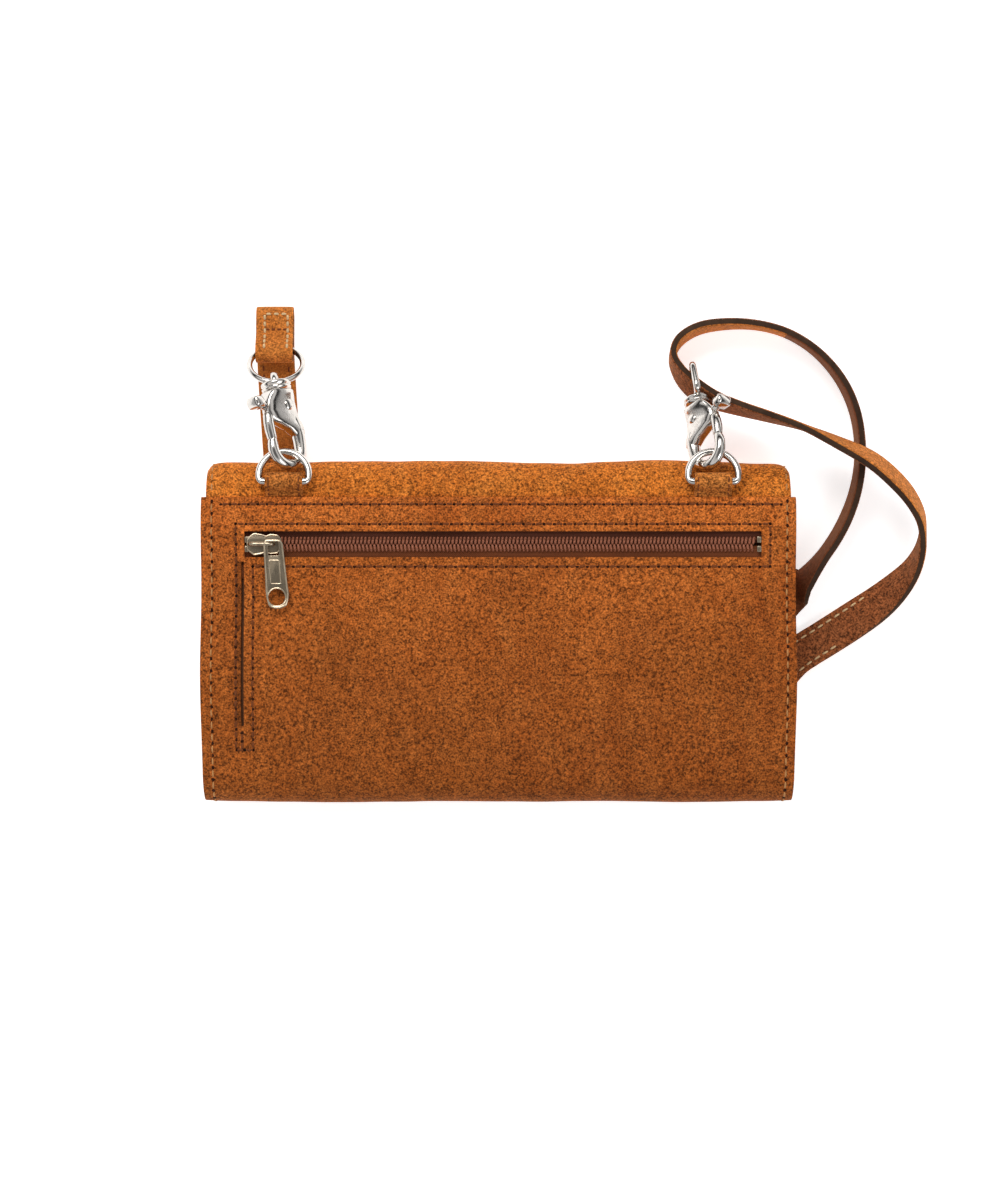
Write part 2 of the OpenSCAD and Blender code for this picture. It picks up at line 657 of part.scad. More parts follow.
// ---- strap ----

// The sewn end: a fold round the ring's wire, two layers, then the bend down to the table
module strap_end() {
    bend_y = route[0][1];
    wire_y = oring_at[1] + oring_r * cos(oring_tilt);
    wire_z = oring_at[2] - oring_r * sin(oring_tilt);
    sag = oring_r - sqrt(oring_r * oring_r - strap_w * strap_w / 4);
    wire_at = [[wire_y, wire_z], [wire_y - sag * cos(oring_tilt), wire_z + sag * sin(oring_tilt)]];
    room = oring_wire_r + 0.5;
    low = strap_t + 0.1;
    bend_r = (low + 2 * strap_t) / 2;
    color(leather) difference() {
        translate([route[0][0] - strap_w / 2, 0, 0]) rotate([90, 0, 90]) linear_extrude(strap_w) {
            difference() {
                union() {
                    hull() {
                        for (q = wire_at) translate(q) circle(room + strap_t - 0.45);
                        translate([wire_y + 5, low]) square([1, 2 * strap_t]);
                    }
                    translate([wire_y + 5, low]) square([bend_y - wire_y - 5, 2 * strap_t]);
                }
                hull() for (q = wire_at) translate(q) circle(room);
                translate([wire_y - 20, -2]) square([40, low + 2]);
            }
            translate([bend_y, bend_r]) difference() {
                circle(bend_r);
                circle(bend_r - strap_t);
                translate([-20, -10]) square([20, 20]);
            }
        }
        translate(oring_at) rotate([-oring_tilt, 0, 0]) rotate_extrude(convexity = 4)
            translate([oring_r, 0]) circle(oring_wire_r + 0.12);
    }
}
module strap_return() { color(leather) strap_along(0, return_end); }
module strap_under() { color(leather) strap_along(return_end, under_end); }
module strap_wrist() { color(leather) strap_along(under_end, wrist_end); }
module strap_tail() { color(leather) strap_along(wrist_end, len(route) - 1); }

back_panel();
front_panel();
spine_leather();
spine_lining();
back_lining();
front_lining();
zip_pocket_lining();
slip_pocket_lining();
gusset_left();
gusset_right();
divider_panel();
card_pocket_low();
card_pocket_middle();
card_pocket_high();
coin_pocket_wall();
coin_zip_tape();
coin_zip_coil();
coin_zip_stops();
coin_zip_slider();
coin_zip_puller();
flap_leather();
flap_lining();
snap_stud();
snap_socket();
snap_washer();
zip_tape_upper();
zip_tape_lower();
zip_coil_upper();
zip_coil_lower();
zip_stops();
zip_slider();
zip_puller();
d_tab_left();
d_tab_right();
d_ring_left();
d_ring_right();
hook_left();
hook_right();
trigger_left();
trigger_right();
trigger_spring_left();
trigger_spring_right();
trigger_rivet_left();
trigger_rivet_right();
swivel_eye_left();
swivel_eye_right();
o_ring();
strap_end();
strap_return();
strap_under();
strap_wrist();
strap_tail();
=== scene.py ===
import math
import bmesh
import bpy
import numpy as np
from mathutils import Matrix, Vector


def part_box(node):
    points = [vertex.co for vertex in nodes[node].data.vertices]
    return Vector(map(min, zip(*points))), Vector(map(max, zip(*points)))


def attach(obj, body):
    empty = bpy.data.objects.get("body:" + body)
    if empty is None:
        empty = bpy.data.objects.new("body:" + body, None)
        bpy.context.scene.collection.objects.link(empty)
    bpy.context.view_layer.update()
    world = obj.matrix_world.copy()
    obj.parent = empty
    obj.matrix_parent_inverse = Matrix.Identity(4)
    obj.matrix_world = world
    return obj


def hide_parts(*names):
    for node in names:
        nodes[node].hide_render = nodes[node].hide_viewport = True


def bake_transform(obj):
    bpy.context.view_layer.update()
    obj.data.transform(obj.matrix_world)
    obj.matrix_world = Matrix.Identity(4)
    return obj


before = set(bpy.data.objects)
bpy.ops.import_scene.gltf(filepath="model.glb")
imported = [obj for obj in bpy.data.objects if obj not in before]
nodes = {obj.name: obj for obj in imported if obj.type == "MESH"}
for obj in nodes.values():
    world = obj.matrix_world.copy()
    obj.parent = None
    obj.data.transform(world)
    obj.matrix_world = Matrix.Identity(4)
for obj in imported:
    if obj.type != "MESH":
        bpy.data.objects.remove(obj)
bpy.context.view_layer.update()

# Suede wristlet wallet, lying back side up on its own strap. Metres, Z up, the table at Z = 0.
mm = 0.001
print("frame loaded:", len(nodes), "nodes")


# Camera, light and table.

studio = dict(viewCentre=(0.5, 10.8), viewHeight=400.0, lens=100.0, sensor=36.0, backPlane=24.6,
              tableSize=6.0, tableDrop=0.3)


def makeCamera():
    # distance = seen height x focal length / sensor height, measured from the wallet's back
    reach = studio["viewHeight"] * studio["lens"] / studio["sensor"] + studio["backPlane"]
    data = bpy.data.cameras.new("camera")
    data.sensor_fit = "VERTICAL"
    data.sensor_height = studio["sensor"]
    data.lens = studio["lens"]
    data.clip_end = 50
    camera = bpy.data.objects.new("camera", data)
    camera.location = (studio["viewCentre"][0] * mm, studio["viewCentre"][1] * mm, reach * mm)
    bpy.context.scene.collection.objects.link(camera)
    bpy.context.scene.camera = camera


def areaLight(name, place, target, size, power, tint):
    # a rectangle of light at a place, turned to face its target
    data = bpy.data.lights.new(name, "AREA")
    data.shape = "RECTANGLE"
    data.size, data.size_y = size
    data.energy = power
    data.color = tint
    light = bpy.data.objects.new(name, data)
    light.location = place
    light.rotation_euler = (Vector(target) - Vector(place)).to_track_quat("-Z", "Y").to_euler()
    bpy.context.scene.collection.objects.link(light)


def makeWorld():
    # a tent: dim straight above, bright in a band around it, dimmer at the horizon
    world = bpy.data.worlds.new("tent")
    world.use_nodes = True
    tree = world.node_tree
    tree.nodes.clear()
    out = tree.nodes.new("ShaderNodeOutputWorld")
    back = tree.nodes.new("ShaderNodeBackground")
    ramp = tree.nodes.new("ShaderNodeValToRGB")
    split = tree.nodes.new("ShaderNodeSeparateXYZ")
    coord = tree.nodes.new("ShaderNodeTexCoord")
    tree.links.new(coord.outputs["Generated"], split.inputs[0])
    tree.links.new(split.outputs["Z"], ramp.inputs[0])
    stops = ((0.0, 0.95), (0.16, 0.9), (0.24, 0.05), (0.42, 0.04), (0.5, 1.35), (0.82, 1.15), (0.93, 0.25))
    ramp.color_ramp.elements[0].position, ramp.color_ramp.elements[1].position = stops[0][0], stops[1][0]
    for place, level in stops[2:]:
        ramp.color_ramp.elements.new(place)
    for element, (place, level) in zip(ramp.color_ramp.elements, stops):
        element.color = (level, level, level * 1.01, 1)
    tree.links.new(ramp.outputs[0], back.inputs["Color"])
    back.inputs["Strength"].default_value = 0.62
    tree.links.new(back.outputs[0], out.inputs[0])
    bpy.context.scene.world = world


makeCamera()
makeWorld()
areaLight("keyLight", (-0.35, 1.1, 1.3), (0, 0, 0), (1.0, 0.7), 15.0, (1.0, 0.985, 0.96))
areaLight("fillLight", (0.9, -0.7, 1.2), (0, 0, 0), (0.7, 0.7), 5.0, (0.97, 0.985, 1.0))
bpy.context.scene.view_settings.view_transform = "Standard"


# Mesh tools.

def unit(v):
    # each vector divided by its length
    return v / np.maximum(np.linalg.norm(v, axis=-1, keepdims=True), 1e-12)


def wholeTurn(count):
    # equal angles once round a circle
    return np.linspace(0, 2 * math.pi, count, endpoint=False)


def stepsOf(line):
    # how far along a line each point lies: the running sum of the gaps between its points
    return np.concatenate([[0], np.cumsum(np.linalg.norm(np.diff(line, axis=0), axis=1))])


def readAlong(at, steps, values):
    # the values at given steps of a line, straight between its points
    return np.column_stack([np.interp(at, steps, values[:, i]) for i in range(3)])


def boxOf(node):
    # a node's low and high corners in the frame, in millimetres
    return [np.array(p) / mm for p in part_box(node)]


def gridLines(stops, steps):
    # lines between each pair of stops, evenly spaced and no further apart than that pair's step
    parts = [np.linspace(a, b, max(2, int(math.ceil(abs(b - a) / s)) + 1))[:-1]
             for a, b, s in zip(stops, stops[1:], steps)]
    return np.concatenate(parts + [[stops[-1]]])


def softWaves(points, wavelength, seed, count=7):
    # the sum of a few sine waves in random directions, between about -1 and 1
    draw = np.random.default_rng(seed)
    ways = unit(draw.normal(size=(count, 3)))
    phases = draw.uniform(0, 2 * math.pi, count)
    lengths = wavelength * draw.uniform(0.7, 1.5, count)
    angles = points @ (ways / lengths[:, None] * 2 * math.pi).T + phases
    return np.sin(angles).sum(axis=-1) / math.sqrt(count)


def smoothPath(points, perSpan):
    # Catmull-Rom curve: each span is the cubic through its ends with slopes from its neighbours
    p = np.asarray(points, float)
    q = np.vstack([2 * p[0] - p[1], p, 2 * p[-1] - p[-2]])
    t = np.linspace(0, 1, perSpan, endpoint=False)[None, :, None]
    a, b, c, d = (q[i:len(q) - 3 + i, None, :] for i in range(4))
    square, cube = 2 * a - 5 * b + 4 * c - d, 3 * b - a - 3 * c + d
    curve = 0.5 * (2 * b + (c - a) * t + square * t ** 2 + cube * t ** 3)
    return np.vstack([curve.reshape(-1, p.shape[1]), p[-1:]])


def addMesh(name, points, faces, materials, faceMaterial=None, smooth=True, recalc=False):
    # points in millimetres, faces as one array of quads or a list of polygons
    mesh = bpy.data.meshes.new(name)
    mesh.from_pydata((np.asarray(points) * mm).tolist(), [], [list(f) for f in faces])
    for material in materials:
        mesh.materials.append(material)
    if faceMaterial is not None:
        mesh.polygons.foreach_set("material_index", np.asarray(faceMaterial, np.int32))
    mesh.polygons.foreach_set("use_smooth", np.full(len(mesh.polygons), smooth))
    if recalc:
        work = bmesh.new()
        work.from_mesh(mesh)
        bmesh.ops.recalc_face_normals(work, faces=work.faces)
        work.to_mesh(mesh)
        work.free()
    mesh.update()
    piece = bpy.data.objects.new(name, mesh)
    bpy.context.scene.collection.objects.link(piece)
    return piece


def setPiece(piece, body, slot, *replaced):
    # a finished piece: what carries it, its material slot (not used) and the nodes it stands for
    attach(piece, body)
    if replaced:
        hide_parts(*replaced)
    return piece


def quadsOf(rows, cols, wrapCols):
    # quads of a grid of rows by cols, joined round when wrapCols is true
    i = np.arange(rows - 1)[:, None] * cols
    j = np.arange(cols if wrapCols else cols - 1)[None, :]
    k = (j + 1) % cols
    return np.stack([i + j, i + k, i + cols + k, i + cols + j], axis=-1).reshape(-1, 4)


def ringFaces(rows, cols, closed):
    # the faces of a tube of rings: its last ring joined to its first, or both ends filled
    faces = quadsOf(rows, cols, True)
    last = (rows - 1) * cols
    if closed:
        j = np.arange(cols)
        k = (j + 1) % cols
        return np.vstack([faces, np.stack([last + j, last + k, k, j], axis=-1)]).tolist()
    return faces.tolist() + [list(range(cols))[::-1], list(range(last, rows * cols))]


def repeatFaces(template, size, start, count):
    # the same faces for count copies of a shape of size points, the first copy at start
    return [[first + i for i in face] for first in range(start, start + count * size, size)
            for face in template]


def gridPiece(name, us, vs, pointOf, materials, thickness, cuts=(), bevel=0.25, side=-1, flip=False):
    # a leaf: the surface pointOf(u, v) over a grid, with the boxes in cuts left out, then given its thickness
    u, v = np.meshgrid(us, vs, indexing="ij")
    points = pointOf(u, v).reshape(-1, 3)
    faces = quadsOf(len(us), len(vs), False)
    if flip:
        faces = faces[:, ::-1]
    cu = ((u[:-1, :-1] + u[1:, 1:]) / 2).reshape(-1)
    cv = ((v[:-1, :-1] + v[1:, 1:]) / 2).reshape(-1)
    keep = np.ones(len(faces), bool)
    for u0, u1, v0, v1 in cuts:
        keep &= ~((cu > u0) & (cu < u1) & (cv > v0) & (cv < v1))
    faces = faces[keep]
    used, renumbered = np.unique(faces, return_inverse=True)
    piece = addMesh(name, points[used], renumbered.reshape(-1, 4), materials)
    thicken = piece.modifiers.new("thickness", "SOLIDIFY")
    thicken.thickness = thickness * mm
    thicken.offset = side
    if bevel:
        soften = piece.modifiers.new("edges", "BEVEL")
        soften.width = bevel * mm
        soften.segments = 2
        soften.limit_method = "ANGLE"
        soften.angle_limit = math.radians(50)
    return piece


def barSection(halfWidth, halfThick, corner, crown=0.0, faceCount=9):
    # a flat bar's outline with round corners; marks are 0 on the face, 1 on the reverse, 2 on the edges
    across = np.linspace(1, -1, faceCount)
    inner = halfWidth - corner
    face = np.column_stack([inner * across, halfThick + crown * (1 - across ** 2)])
    turn = np.radians([112.5, 135, 157.5, 180, 202.5, 225, 247.5])
    centreY = (halfThick - corner) * np.array([1, 1, 1, 0, -1, -1, -1])
    left = np.column_stack([-inner + corner * np.cos(turn), centreY + corner * np.sin(turn)])
    outline = np.vstack([face, left, -face, -left])
    side = [0, 0, 0, 2, 2, 1, 1, 1]
    marks = np.concatenate([np.zeros(faceCount - 1, int), side, np.ones(faceCount - 1, int), side[::-1]])
    return outline, marks


def sweepPiece(name, centres, wide, thick, section, materials, marks):
    # the section's first number is laid along wide and its second along thick, at every centre
    section = np.broadcast_to(section, (len(centres),) + np.shape(section)[-2:])
    points = centres[:, None] + section[..., :1] * wide[:, None] + section[..., 1:] * thick[:, None]
    rows, cols = points.shape[:2]
    endMark = 2
    faceMarks = list(np.tile(marks, rows - 1)) + [endMark] * 2
    return addMesh(name, points.reshape(-1, 3), ringFaces(rows, cols, False), materials, faceMarks,
                   recalc=True)


def tubePoints(centres, radii, normal, closed, sides=14):
    # a round tube round a flat path: each ring stands across the path, with its own radius
    centres = np.asarray(centres, float)
    ahead = np.roll(centres, -1, 0) - np.roll(centres, 1, 0) if closed else np.gradient(centres, axis=0)
    tangent = unit(ahead)
    wide = unit(np.cross(tangent, normal))
    thick = np.cross(wide, tangent)
    turn = wholeTurn(sides)
    radii = np.broadcast_to(radii, len(centres))[:, None, None]
    ring = np.cos(turn)[None, :, None] * wide[:, None] + np.sin(turn)[None, :, None] * thick[:, None]
    return centres[:, None] + radii * ring


def roundedEnds(centres, radii, count=4):
    # adds a half ball to both ends of a path: the radius falls as a circle over its own length
    centres, radii = np.asarray(centres, float), np.broadcast_to(radii, len(centres)).astype(float)
    rise = np.sin(np.linspace(0, math.pi / 2 * 0.97, count + 1)[1:])
    fall = np.cos(np.linspace(0, math.pi / 2 * 0.97, count + 1)[1:])
    head = unit(centres[0] - centres[1])
    tail = unit(centres[-1] - centres[-2])
    start = centres[0] + head * radii[0] * rise[::-1, None]
    end = centres[-1] + tail * radii[-1] * rise[:, None]
    return (np.vstack([start, centres, end]),
            np.concatenate([radii[0] * fall[::-1], radii, radii[-1] * fall]))


def lathePoints(profile, sides=40):
    # a profile of radius and height turned round the Z axis
    profile = np.asarray(profile, float)
    turn = wholeTurn(sides)
    return np.stack([profile[:, :1] * np.cos(turn), profile[:, :1] * np.sin(turn),
                     np.broadcast_to(profile[:, 1:], (len(profile), sides))], axis=-1)


def stackParts(plates, parts):
    # points and faces of plates (points, faces), then of swept parts (points as rows by columns, closed)
    shells = plates + [(grid.reshape(-1, 3), ringFaces(*grid.shape[:2], closed)) for grid, closed in parts]
    points, faces, start = [], [], 0
    for shellPoints, shellFaces in shells:
        points.append(shellPoints)
        faces += [[start + i for i in face] for face in shellFaces]
        start += len(shellPoints)
    return np.vstack(points), faces


def joinParts(name, parts, materials, placeOf=None):
    # each swept part becomes its own shell of one mesh
    points, faces = stackParts([], parts)
    return addMesh(name, placeOf(points) if placeOf else points, faces, materials, recalc=True)


def stitchShape(length, radius):
    # one thread: six sides, seven rings, thick in the middle and sunk at both ends
    along = np.array([-0.5, -0.42, -0.22, 0, 0.22, 0.42, 0.5]) * length
    fat = np.array([0.15, 0.7, 1, 1.05, 1, 0.7, 0.15]) * radius
    lift = np.array([-0.9, -0.1, 0.35, 0.5, 0.35, -0.1, -0.9]) * radius
    turn = wholeTurn(6)
    return along, fat, lift, turn


def stitchRows(name, rows, pitch, length, radius, material):
    # each row is (points, normals) along a seam: threads sit at equal steps of its length
    along, fat, lift, turn = stitchShape(length, radius)
    points, faces, start = [], [], 0
    size = len(along) * len(turn)
    template = ringFaces(len(along), len(turn), False)
    for line, up in rows:
        line, up = np.asarray(line, float), np.broadcast_to(np.asarray(up, float), np.shape(line))
        steps = stepsOf(line)
        count = max(1, int(round(steps[-1] / pitch)))
        middle = (np.arange(count) + 0.5) * steps[-1] / count
        at, normal = readAlong(middle, steps, line), unit(readAlong(middle, steps, up))
        way = unit(readAlong(middle + 0.3, steps, line) - readAlong(middle - 0.3, steps, line))
        draw = np.random.default_rng(len(line) + count)
        across = unit(unit(np.cross(normal, way)) + way * draw.normal(0, 0.03, (count, 1)))
        way = unit(np.cross(across, normal))
        way, across, normal = way[:, None, None], across[:, None, None], normal[:, None, None]
        around = np.cos(turn)[:, None] * across + 0.75 * np.sin(turn)[:, None] * normal
        thread = along[:, None, None] * way + lift[:, None, None] * normal + fat[:, None, None] * around
        points.append((at[:, None, None] + thread).reshape(-1, 3))
        faces += repeatFaces(template, size, start, count)
        start += size * count
    return addMesh(name, np.vstack(points), faces, [material])


def sew(name, rows, pitch, length, radius, thread, body="wallet", slot="suede"):
    # threads along rows as a piece of their own
    return setPiece(stitchRows(name, rows, pitch, length, radius, thread), body, slot)


# Materials.

def linear(r, g, b):
    # a display colour of 0 to 255 as linear light: the usual two-part curve
    c = np.array([r, g, b]) / 255
    c = np.where(c <= 0.04045, c / 12.92, ((c + 0.055) / 1.055) ** 2.4)
    return (float(c[0]), float(c[1]), float(c[2]), 1.0)


class NodeGroup:
    # a shader node group: colours and numbers go in; a colour, a roughness and a height come out
    def __init__(self, name, **inputs):
        self.tree = bpy.data.node_groups.new(name, "ShaderNodeTree")
        for label, value in inputs.items():
            kind = "NodeSocketColor" if isinstance(value, tuple) else "NodeSocketFloat"
            socket = self.tree.interface.new_socket(label.replace("_", " "), in_out="INPUT", socket_type=kind)
            socket.default_value = value
        for label, kind in (("Color", "Color"), ("Roughness", "Float"), ("Height", "Float")):
            self.tree.interface.new_socket(label, in_out="OUTPUT", socket_type="NodeSocket" + kind)
        self.entry = self.tree.nodes.new("NodeGroupInput")
        self.exit = self.tree.nodes.new("NodeGroupOutput")

    def node(self, kind, inputs=None, **settings):
        made = self.tree.nodes.new(kind)
        for key, value in settings.items():
            setattr(made, key, value)
        for key, value in (inputs or {}).items():
            if isinstance(value, bpy.types.NodeSocket):
                self.tree.links.new(value, made.inputs[key])
            else:
                made.inputs[key].default_value = value
        return made

    def math(self, operation, a, b=0.0):
        return self.node("ShaderNodeMath", {0: a, 1: b}, operation=operation).outputs[0]

    def mix(self, factor, a, b, blend="MIX"):
        made = self.node("ShaderNodeMix", {0: factor, 6: a, 7: b}, data_type="RGBA", blend_type=blend)
        return made.outputs[2]

    def noise(self, vector, scale, detail=3.0, rough=0.5):
        return self.node("ShaderNodeTexNoise", {"Vector": vector, "Scale": scale, "Detail": detail,
                                                "Roughness": rough}).outputs["Fac"]

    def spread(self, value, low, high, a=0.0, b=1.0):
        return self.node("ShaderNodeMapRange", {"Value": value, "From Min": low, "From Max": high,
                                                "To Min": a, "To Max": b}).outputs["Result"]

    def put(self, label, value):
        self.tree.links.new(value, self.exit.inputs[label])


def makeNapGroup():
    # suede: cloudy blotches, brushed streaks and short fibres, times painted light towards the top and
    # painted shade towards the bottom along Y, and a per-point attribute of wear and painted light
    g = NodeGroup("suedeNap", Base=(0.5, 0.3, 0.1, 1), Dark=(0.3, 0.15, 0.05, 1), Light=(0.7, 0.4, 0.2, 1),
                  Blotch_Scale=20.0, Blotch_Amount=0.6, Fibre_Scale=1600.0, Fibre_Contrast=1.5,
                  Top_Shade=1.0, Bottom_Shade=1.0)
    i = g.entry.outputs
    place = g.node("ShaderNodeTexCoord").outputs["Object"]
    warp = g.node("ShaderNodeTexNoise", {"Vector": place, "Scale": 35.0, "Detail": 2.0})
    bent = g.node("ShaderNodeVectorMath", {0: warp.outputs["Color"], 1: (0.02, 0.02, 0.02)},
                  operation="MULTIPLY")
    moved = g.node("ShaderNodeVectorMath", {0: place, 1: bent.outputs[0]}, operation="ADD").outputs[0]
    cloud = g.noise(moved, i["Blotch Scale"], 4.0, 0.6)
    cloud = g.spread(cloud, 0.42, 0.68)
    small = g.noise(moved, g.math("MULTIPLY", i["Blotch Scale"], 6.0), 3.0, 0.65)
    small = g.spread(small, 0.4, 0.7)
    stretched = g.node("ShaderNodeMapping", {"Vector": moved, "Rotation": (0, 0, 0.5),
                                             "Scale": (1.0, 0.28, 1.0)})
    streak = g.noise(stretched.outputs[0], 190.0, 3.0, 0.6)
    streak = g.spread(streak, 0.45, 0.72)
    fibre = g.noise(place, i["Fibre Scale"], 3.0, 0.7)
    tuft = g.noise(place, g.math("MULTIPLY", i["Fibre Scale"], 0.5), 2.0, 0.6)
    color = g.mix(g.math("MULTIPLY", cloud, i["Blotch Amount"]), i["Base"], i["Dark"])
    color = g.mix(g.math("MULTIPLY", small, g.math("MULTIPLY", i["Blotch Amount"], 0.45)), color, i["Dark"])
    color = g.mix(g.math("MULTIPLY", streak, 0.35), color, i["Light"])
    both = g.math("ADD", g.math("MULTIPLY", fibre, 0.6), g.math("MULTIPLY", tuft, 0.4))
    speck = g.math("MULTIPLY", g.math("SUBTRACT", both, 0.5), i["Fibre Contrast"])
    speck = g.math("ADD", g.math("MULTIPLY", speck, 4.0), 1.0)
    # painted light and shade: the colour is scaled from Bottom Shade at the bottom to Top Shade at the top
    # along Y, as the light falls from above
    low = g.node("ShaderNodeSeparateXYZ", {0: place}).outputs["Y"]
    shade = g.node("ShaderNodeMapRange", {"Value": low, "From Min": -0.057, "From Max": 0.045,
                                          "To Min": i["Bottom Shade"], "To Max": i["Top Shade"]},
                   interpolation_type="SMOOTHSTEP").outputs["Result"]
    # a per-point attribute: darker for wear spots and for painted shade in the slit, lighter for painted
    # light on the strip above the zip
    wearAndPaintedLight = g.node("ShaderNodeAttribute", attribute_name="wearAndPaintedLight").outputs["Fac"]
    shade = g.math("MULTIPLY", shade, g.math("SUBTRACT", 1.0, wearAndPaintedLight))
    level = g.math("MULTIPLY", g.math("MAXIMUM", speck, 0.25), shade)
    grey = g.node("ShaderNodeCombineXYZ", {0: level, 1: level, 2: level}).outputs[0]
    color = g.mix(1.0, color, grey, "MULTIPLY")
    g.put("Color", color)
    g.put("Roughness", g.spread(small, 0.0, 1.0, 0.82, 0.95))
    g.put("Height", g.math("ADD", both, g.math("MULTIPLY", streak, 0.3)))
    return g.tree


def makeWeaveGroup():
    # woven cloth: warp and weft ribs crossed in squares
    g = NodeGroup("wovenCloth", Warp=(0.3, 0.2, 0.1, 1), Weft=(0.2, 0.1, 0.05, 1), Threads_Per_Metre=2000.0,
                  Unevenness=0.3)
    i = g.entry.outputs
    place = g.node("ShaderNodeTexCoord").outputs["Object"]
    axes = g.node("ShaderNodeSeparateXYZ", {0: place}).outputs
    turns = g.math("MULTIPLY", i["Threads Per Metre"], 2 * math.pi)
    lean = g.math("MULTIPLY", axes["Z"], 0.5)
    across, down = (g.math("SINE", g.math("MULTIPLY", g.math("ADD", axes[way], lean), turns)) for way in "XY")
    square = g.spread(g.math("MULTIPLY", across, down), -0.3, 0.3)
    cloud = g.noise(place, 120.0, 3.0, 0.6)
    fine = g.noise(place, 2600.0, 2.0, 0.6)
    color = g.mix(square, i["Warp"], i["Weft"])
    both = g.math("ADD", g.math("MULTIPLY", cloud, 0.5), g.math("MULTIPLY", fine, 0.5))
    uneven = g.math("MULTIPLY", i["Unevenness"], 3.0)
    level = g.math("ADD", 1.0, g.math("MULTIPLY", g.math("SUBTRACT", both, 0.5), uneven))
    grey = g.node("ShaderNodeCombineXYZ", {0: level, 1: level, 2: level}).outputs[0]
    g.put("Color", g.mix(1.0, color, grey, "MULTIPLY"))
    g.put("Roughness", g.spread(fine, 0.2, 0.8, 0.75, 0.95))
    g.put("Height", g.math("ADD", g.math("MULTIPLY", g.math("ABSOLUTE", across), 0.5),
                           g.math("MULTIPLY", fine, 0.4)))
    return g.tree


def makeMetalGroup():
    # metal: cloudy tarnish and fine rubbed scratches
    g = NodeGroup("rubbedMetal", Bright=(0.7, 0.7, 0.7, 1), Tarnish=(0.2, 0.18, 0.15, 1), Tarnish_Amount=0.3,
                  Smooth=0.15, Rough=0.4)
    i = g.entry.outputs
    place = g.node("ShaderNodeTexCoord").outputs["Object"]
    cloud = g.spread(g.noise(place, 380.0, 4.0, 0.65), 0.42, 0.7)
    stretched = g.node("ShaderNodeMapping", {"Vector": place, "Rotation": (0.2, 0.3, 0.7),
                                             "Scale": (1.0, 0.06, 1.0)})
    scratch = g.spread(g.noise(stretched.outputs[0], 5200.0, 2.0, 0.6), 0.52, 0.75)
    g.put("Color", g.mix(g.math("MULTIPLY", cloud, i["Tarnish Amount"]), i["Bright"], i["Tarnish"]))
    wear = g.math("ADD", g.math("MULTIPLY", cloud, 0.6), g.math("MULTIPLY", scratch, 0.4))
    g.put("Roughness", g.node("ShaderNodeMapRange",
                              {"Value": wear, "To Min": i["Smooth"], "To Max": i["Rough"]})
          .outputs["Result"])
    g.put("Height", g.math("ADD", scratch, g.math("MULTIPLY", cloud, 0.5)))
    return g.tree


napGroup, weaveGroup, metalGroup = makeNapGroup(), makeWeaveGroup(), makeMetalGroup()


def finishOf(name, group, values, bumpStrength, bumpDepth, shader):
    # a material: one group feeding the shader's colour, roughness and bump; the rest are plain values
    material = bpy.data.materials.new(name)
    material.use_nodes = True
    tree = material.node_tree
    principled = tree.nodes["Principled BSDF"]
    look = tree.nodes.new("ShaderNodeGroup")
    look.node_tree = group
    for key, value in values.items():
        look.inputs[key].default_value = value
    bump = tree.nodes.new("ShaderNodeBump")
    bump.inputs["Strength"].default_value = bumpStrength
    bump.inputs["Distance"].default_value = bumpDepth * mm
    tree.links.new(look.outputs["Color"], principled.inputs["Base Color"])
    tree.links.new(look.outputs["Roughness"], principled.inputs["Roughness"])
    tree.links.new(look.outputs["Height"], bump.inputs["Height"])
    tree.links.new(bump.outputs[0], principled.inputs["Normal"])
    for key, value in shader.items():
        principled.inputs[key].default_value = value
    return material


def suede(name, base, dark, light, **changes):
    # napped leather: three colours and any changes to the nap's own values
    values = {"Base": linear(*base), "Dark": linear(*dark), "Light": linear(*light)}
    values.update({key.replace("_", " "): value for key, value in changes.items()})
    return finishOf(name, napGroup, values, 0.55, 0.35,
                    {"Specular IOR Level": 0.12, "Sheen Weight": 0.18, "Sheen Roughness": 0.45,
                     "Sheen Tint": linear(235, 170, 110)})


def cloth(name, warp, weft, threads=1900.0, uneven=0.3):
    # woven threads of two colours
    values = {"Warp": linear(*warp), "Weft": linear(*weft), "Threads Per Metre": threads,
              "Unevenness": uneven}
    return finishOf(name, weaveGroup, values, 0.5, 0.12, {"Specular IOR Level": 0.2, "Sheen Weight": 0.1})


def metalFinish(name, bright, tarnish, amount, smooth, rough):
    # plated metal: a bright colour clouded by a tarnish
    values = {"Bright": linear(*bright), "Tarnish": linear(*tarnish), "Tarnish Amount": amount,
              "Smooth": smooth, "Rough": rough}
    return finishOf(name, metalGroup, values, 0.12, 0.03, {"Metallic": 1.0})


# Top_Shade and Bottom_Shade paint light on the back's top and paint shade towards the bottom fold
suedeBack = suede("suedeBack", (164, 88, 34), (132, 64, 22), (186, 108, 48), Blotch_Scale=17.0,
                  Blotch_Amount=0.62,
                  Top_Shade=1.12, Bottom_Shade=0.78)
suedeSpine = suede("suedeSpine", (194, 109, 38), (156, 80, 26), (214, 134, 58), Blotch_Scale=24.0,
                   Blotch_Amount=0.5)
suedeTab = suede("suedeTab", (184, 110, 48), (150, 82, 32), (204, 134, 68), Blotch_Scale=60.0,
                 Blotch_Amount=0.4)
strapFace = suede("strapFace", (192, 113, 48), (164, 88, 34), (210, 136, 68), Blotch_Scale=40.0,
                  Blotch_Amount=0.35,
                  Fibre_Contrast=1.0)
strapReverse = suede("strapReverse", (134, 76, 42), (104, 56, 30), (156, 96, 58), Blotch_Scale=50.0,
                     Blotch_Amount=0.5)
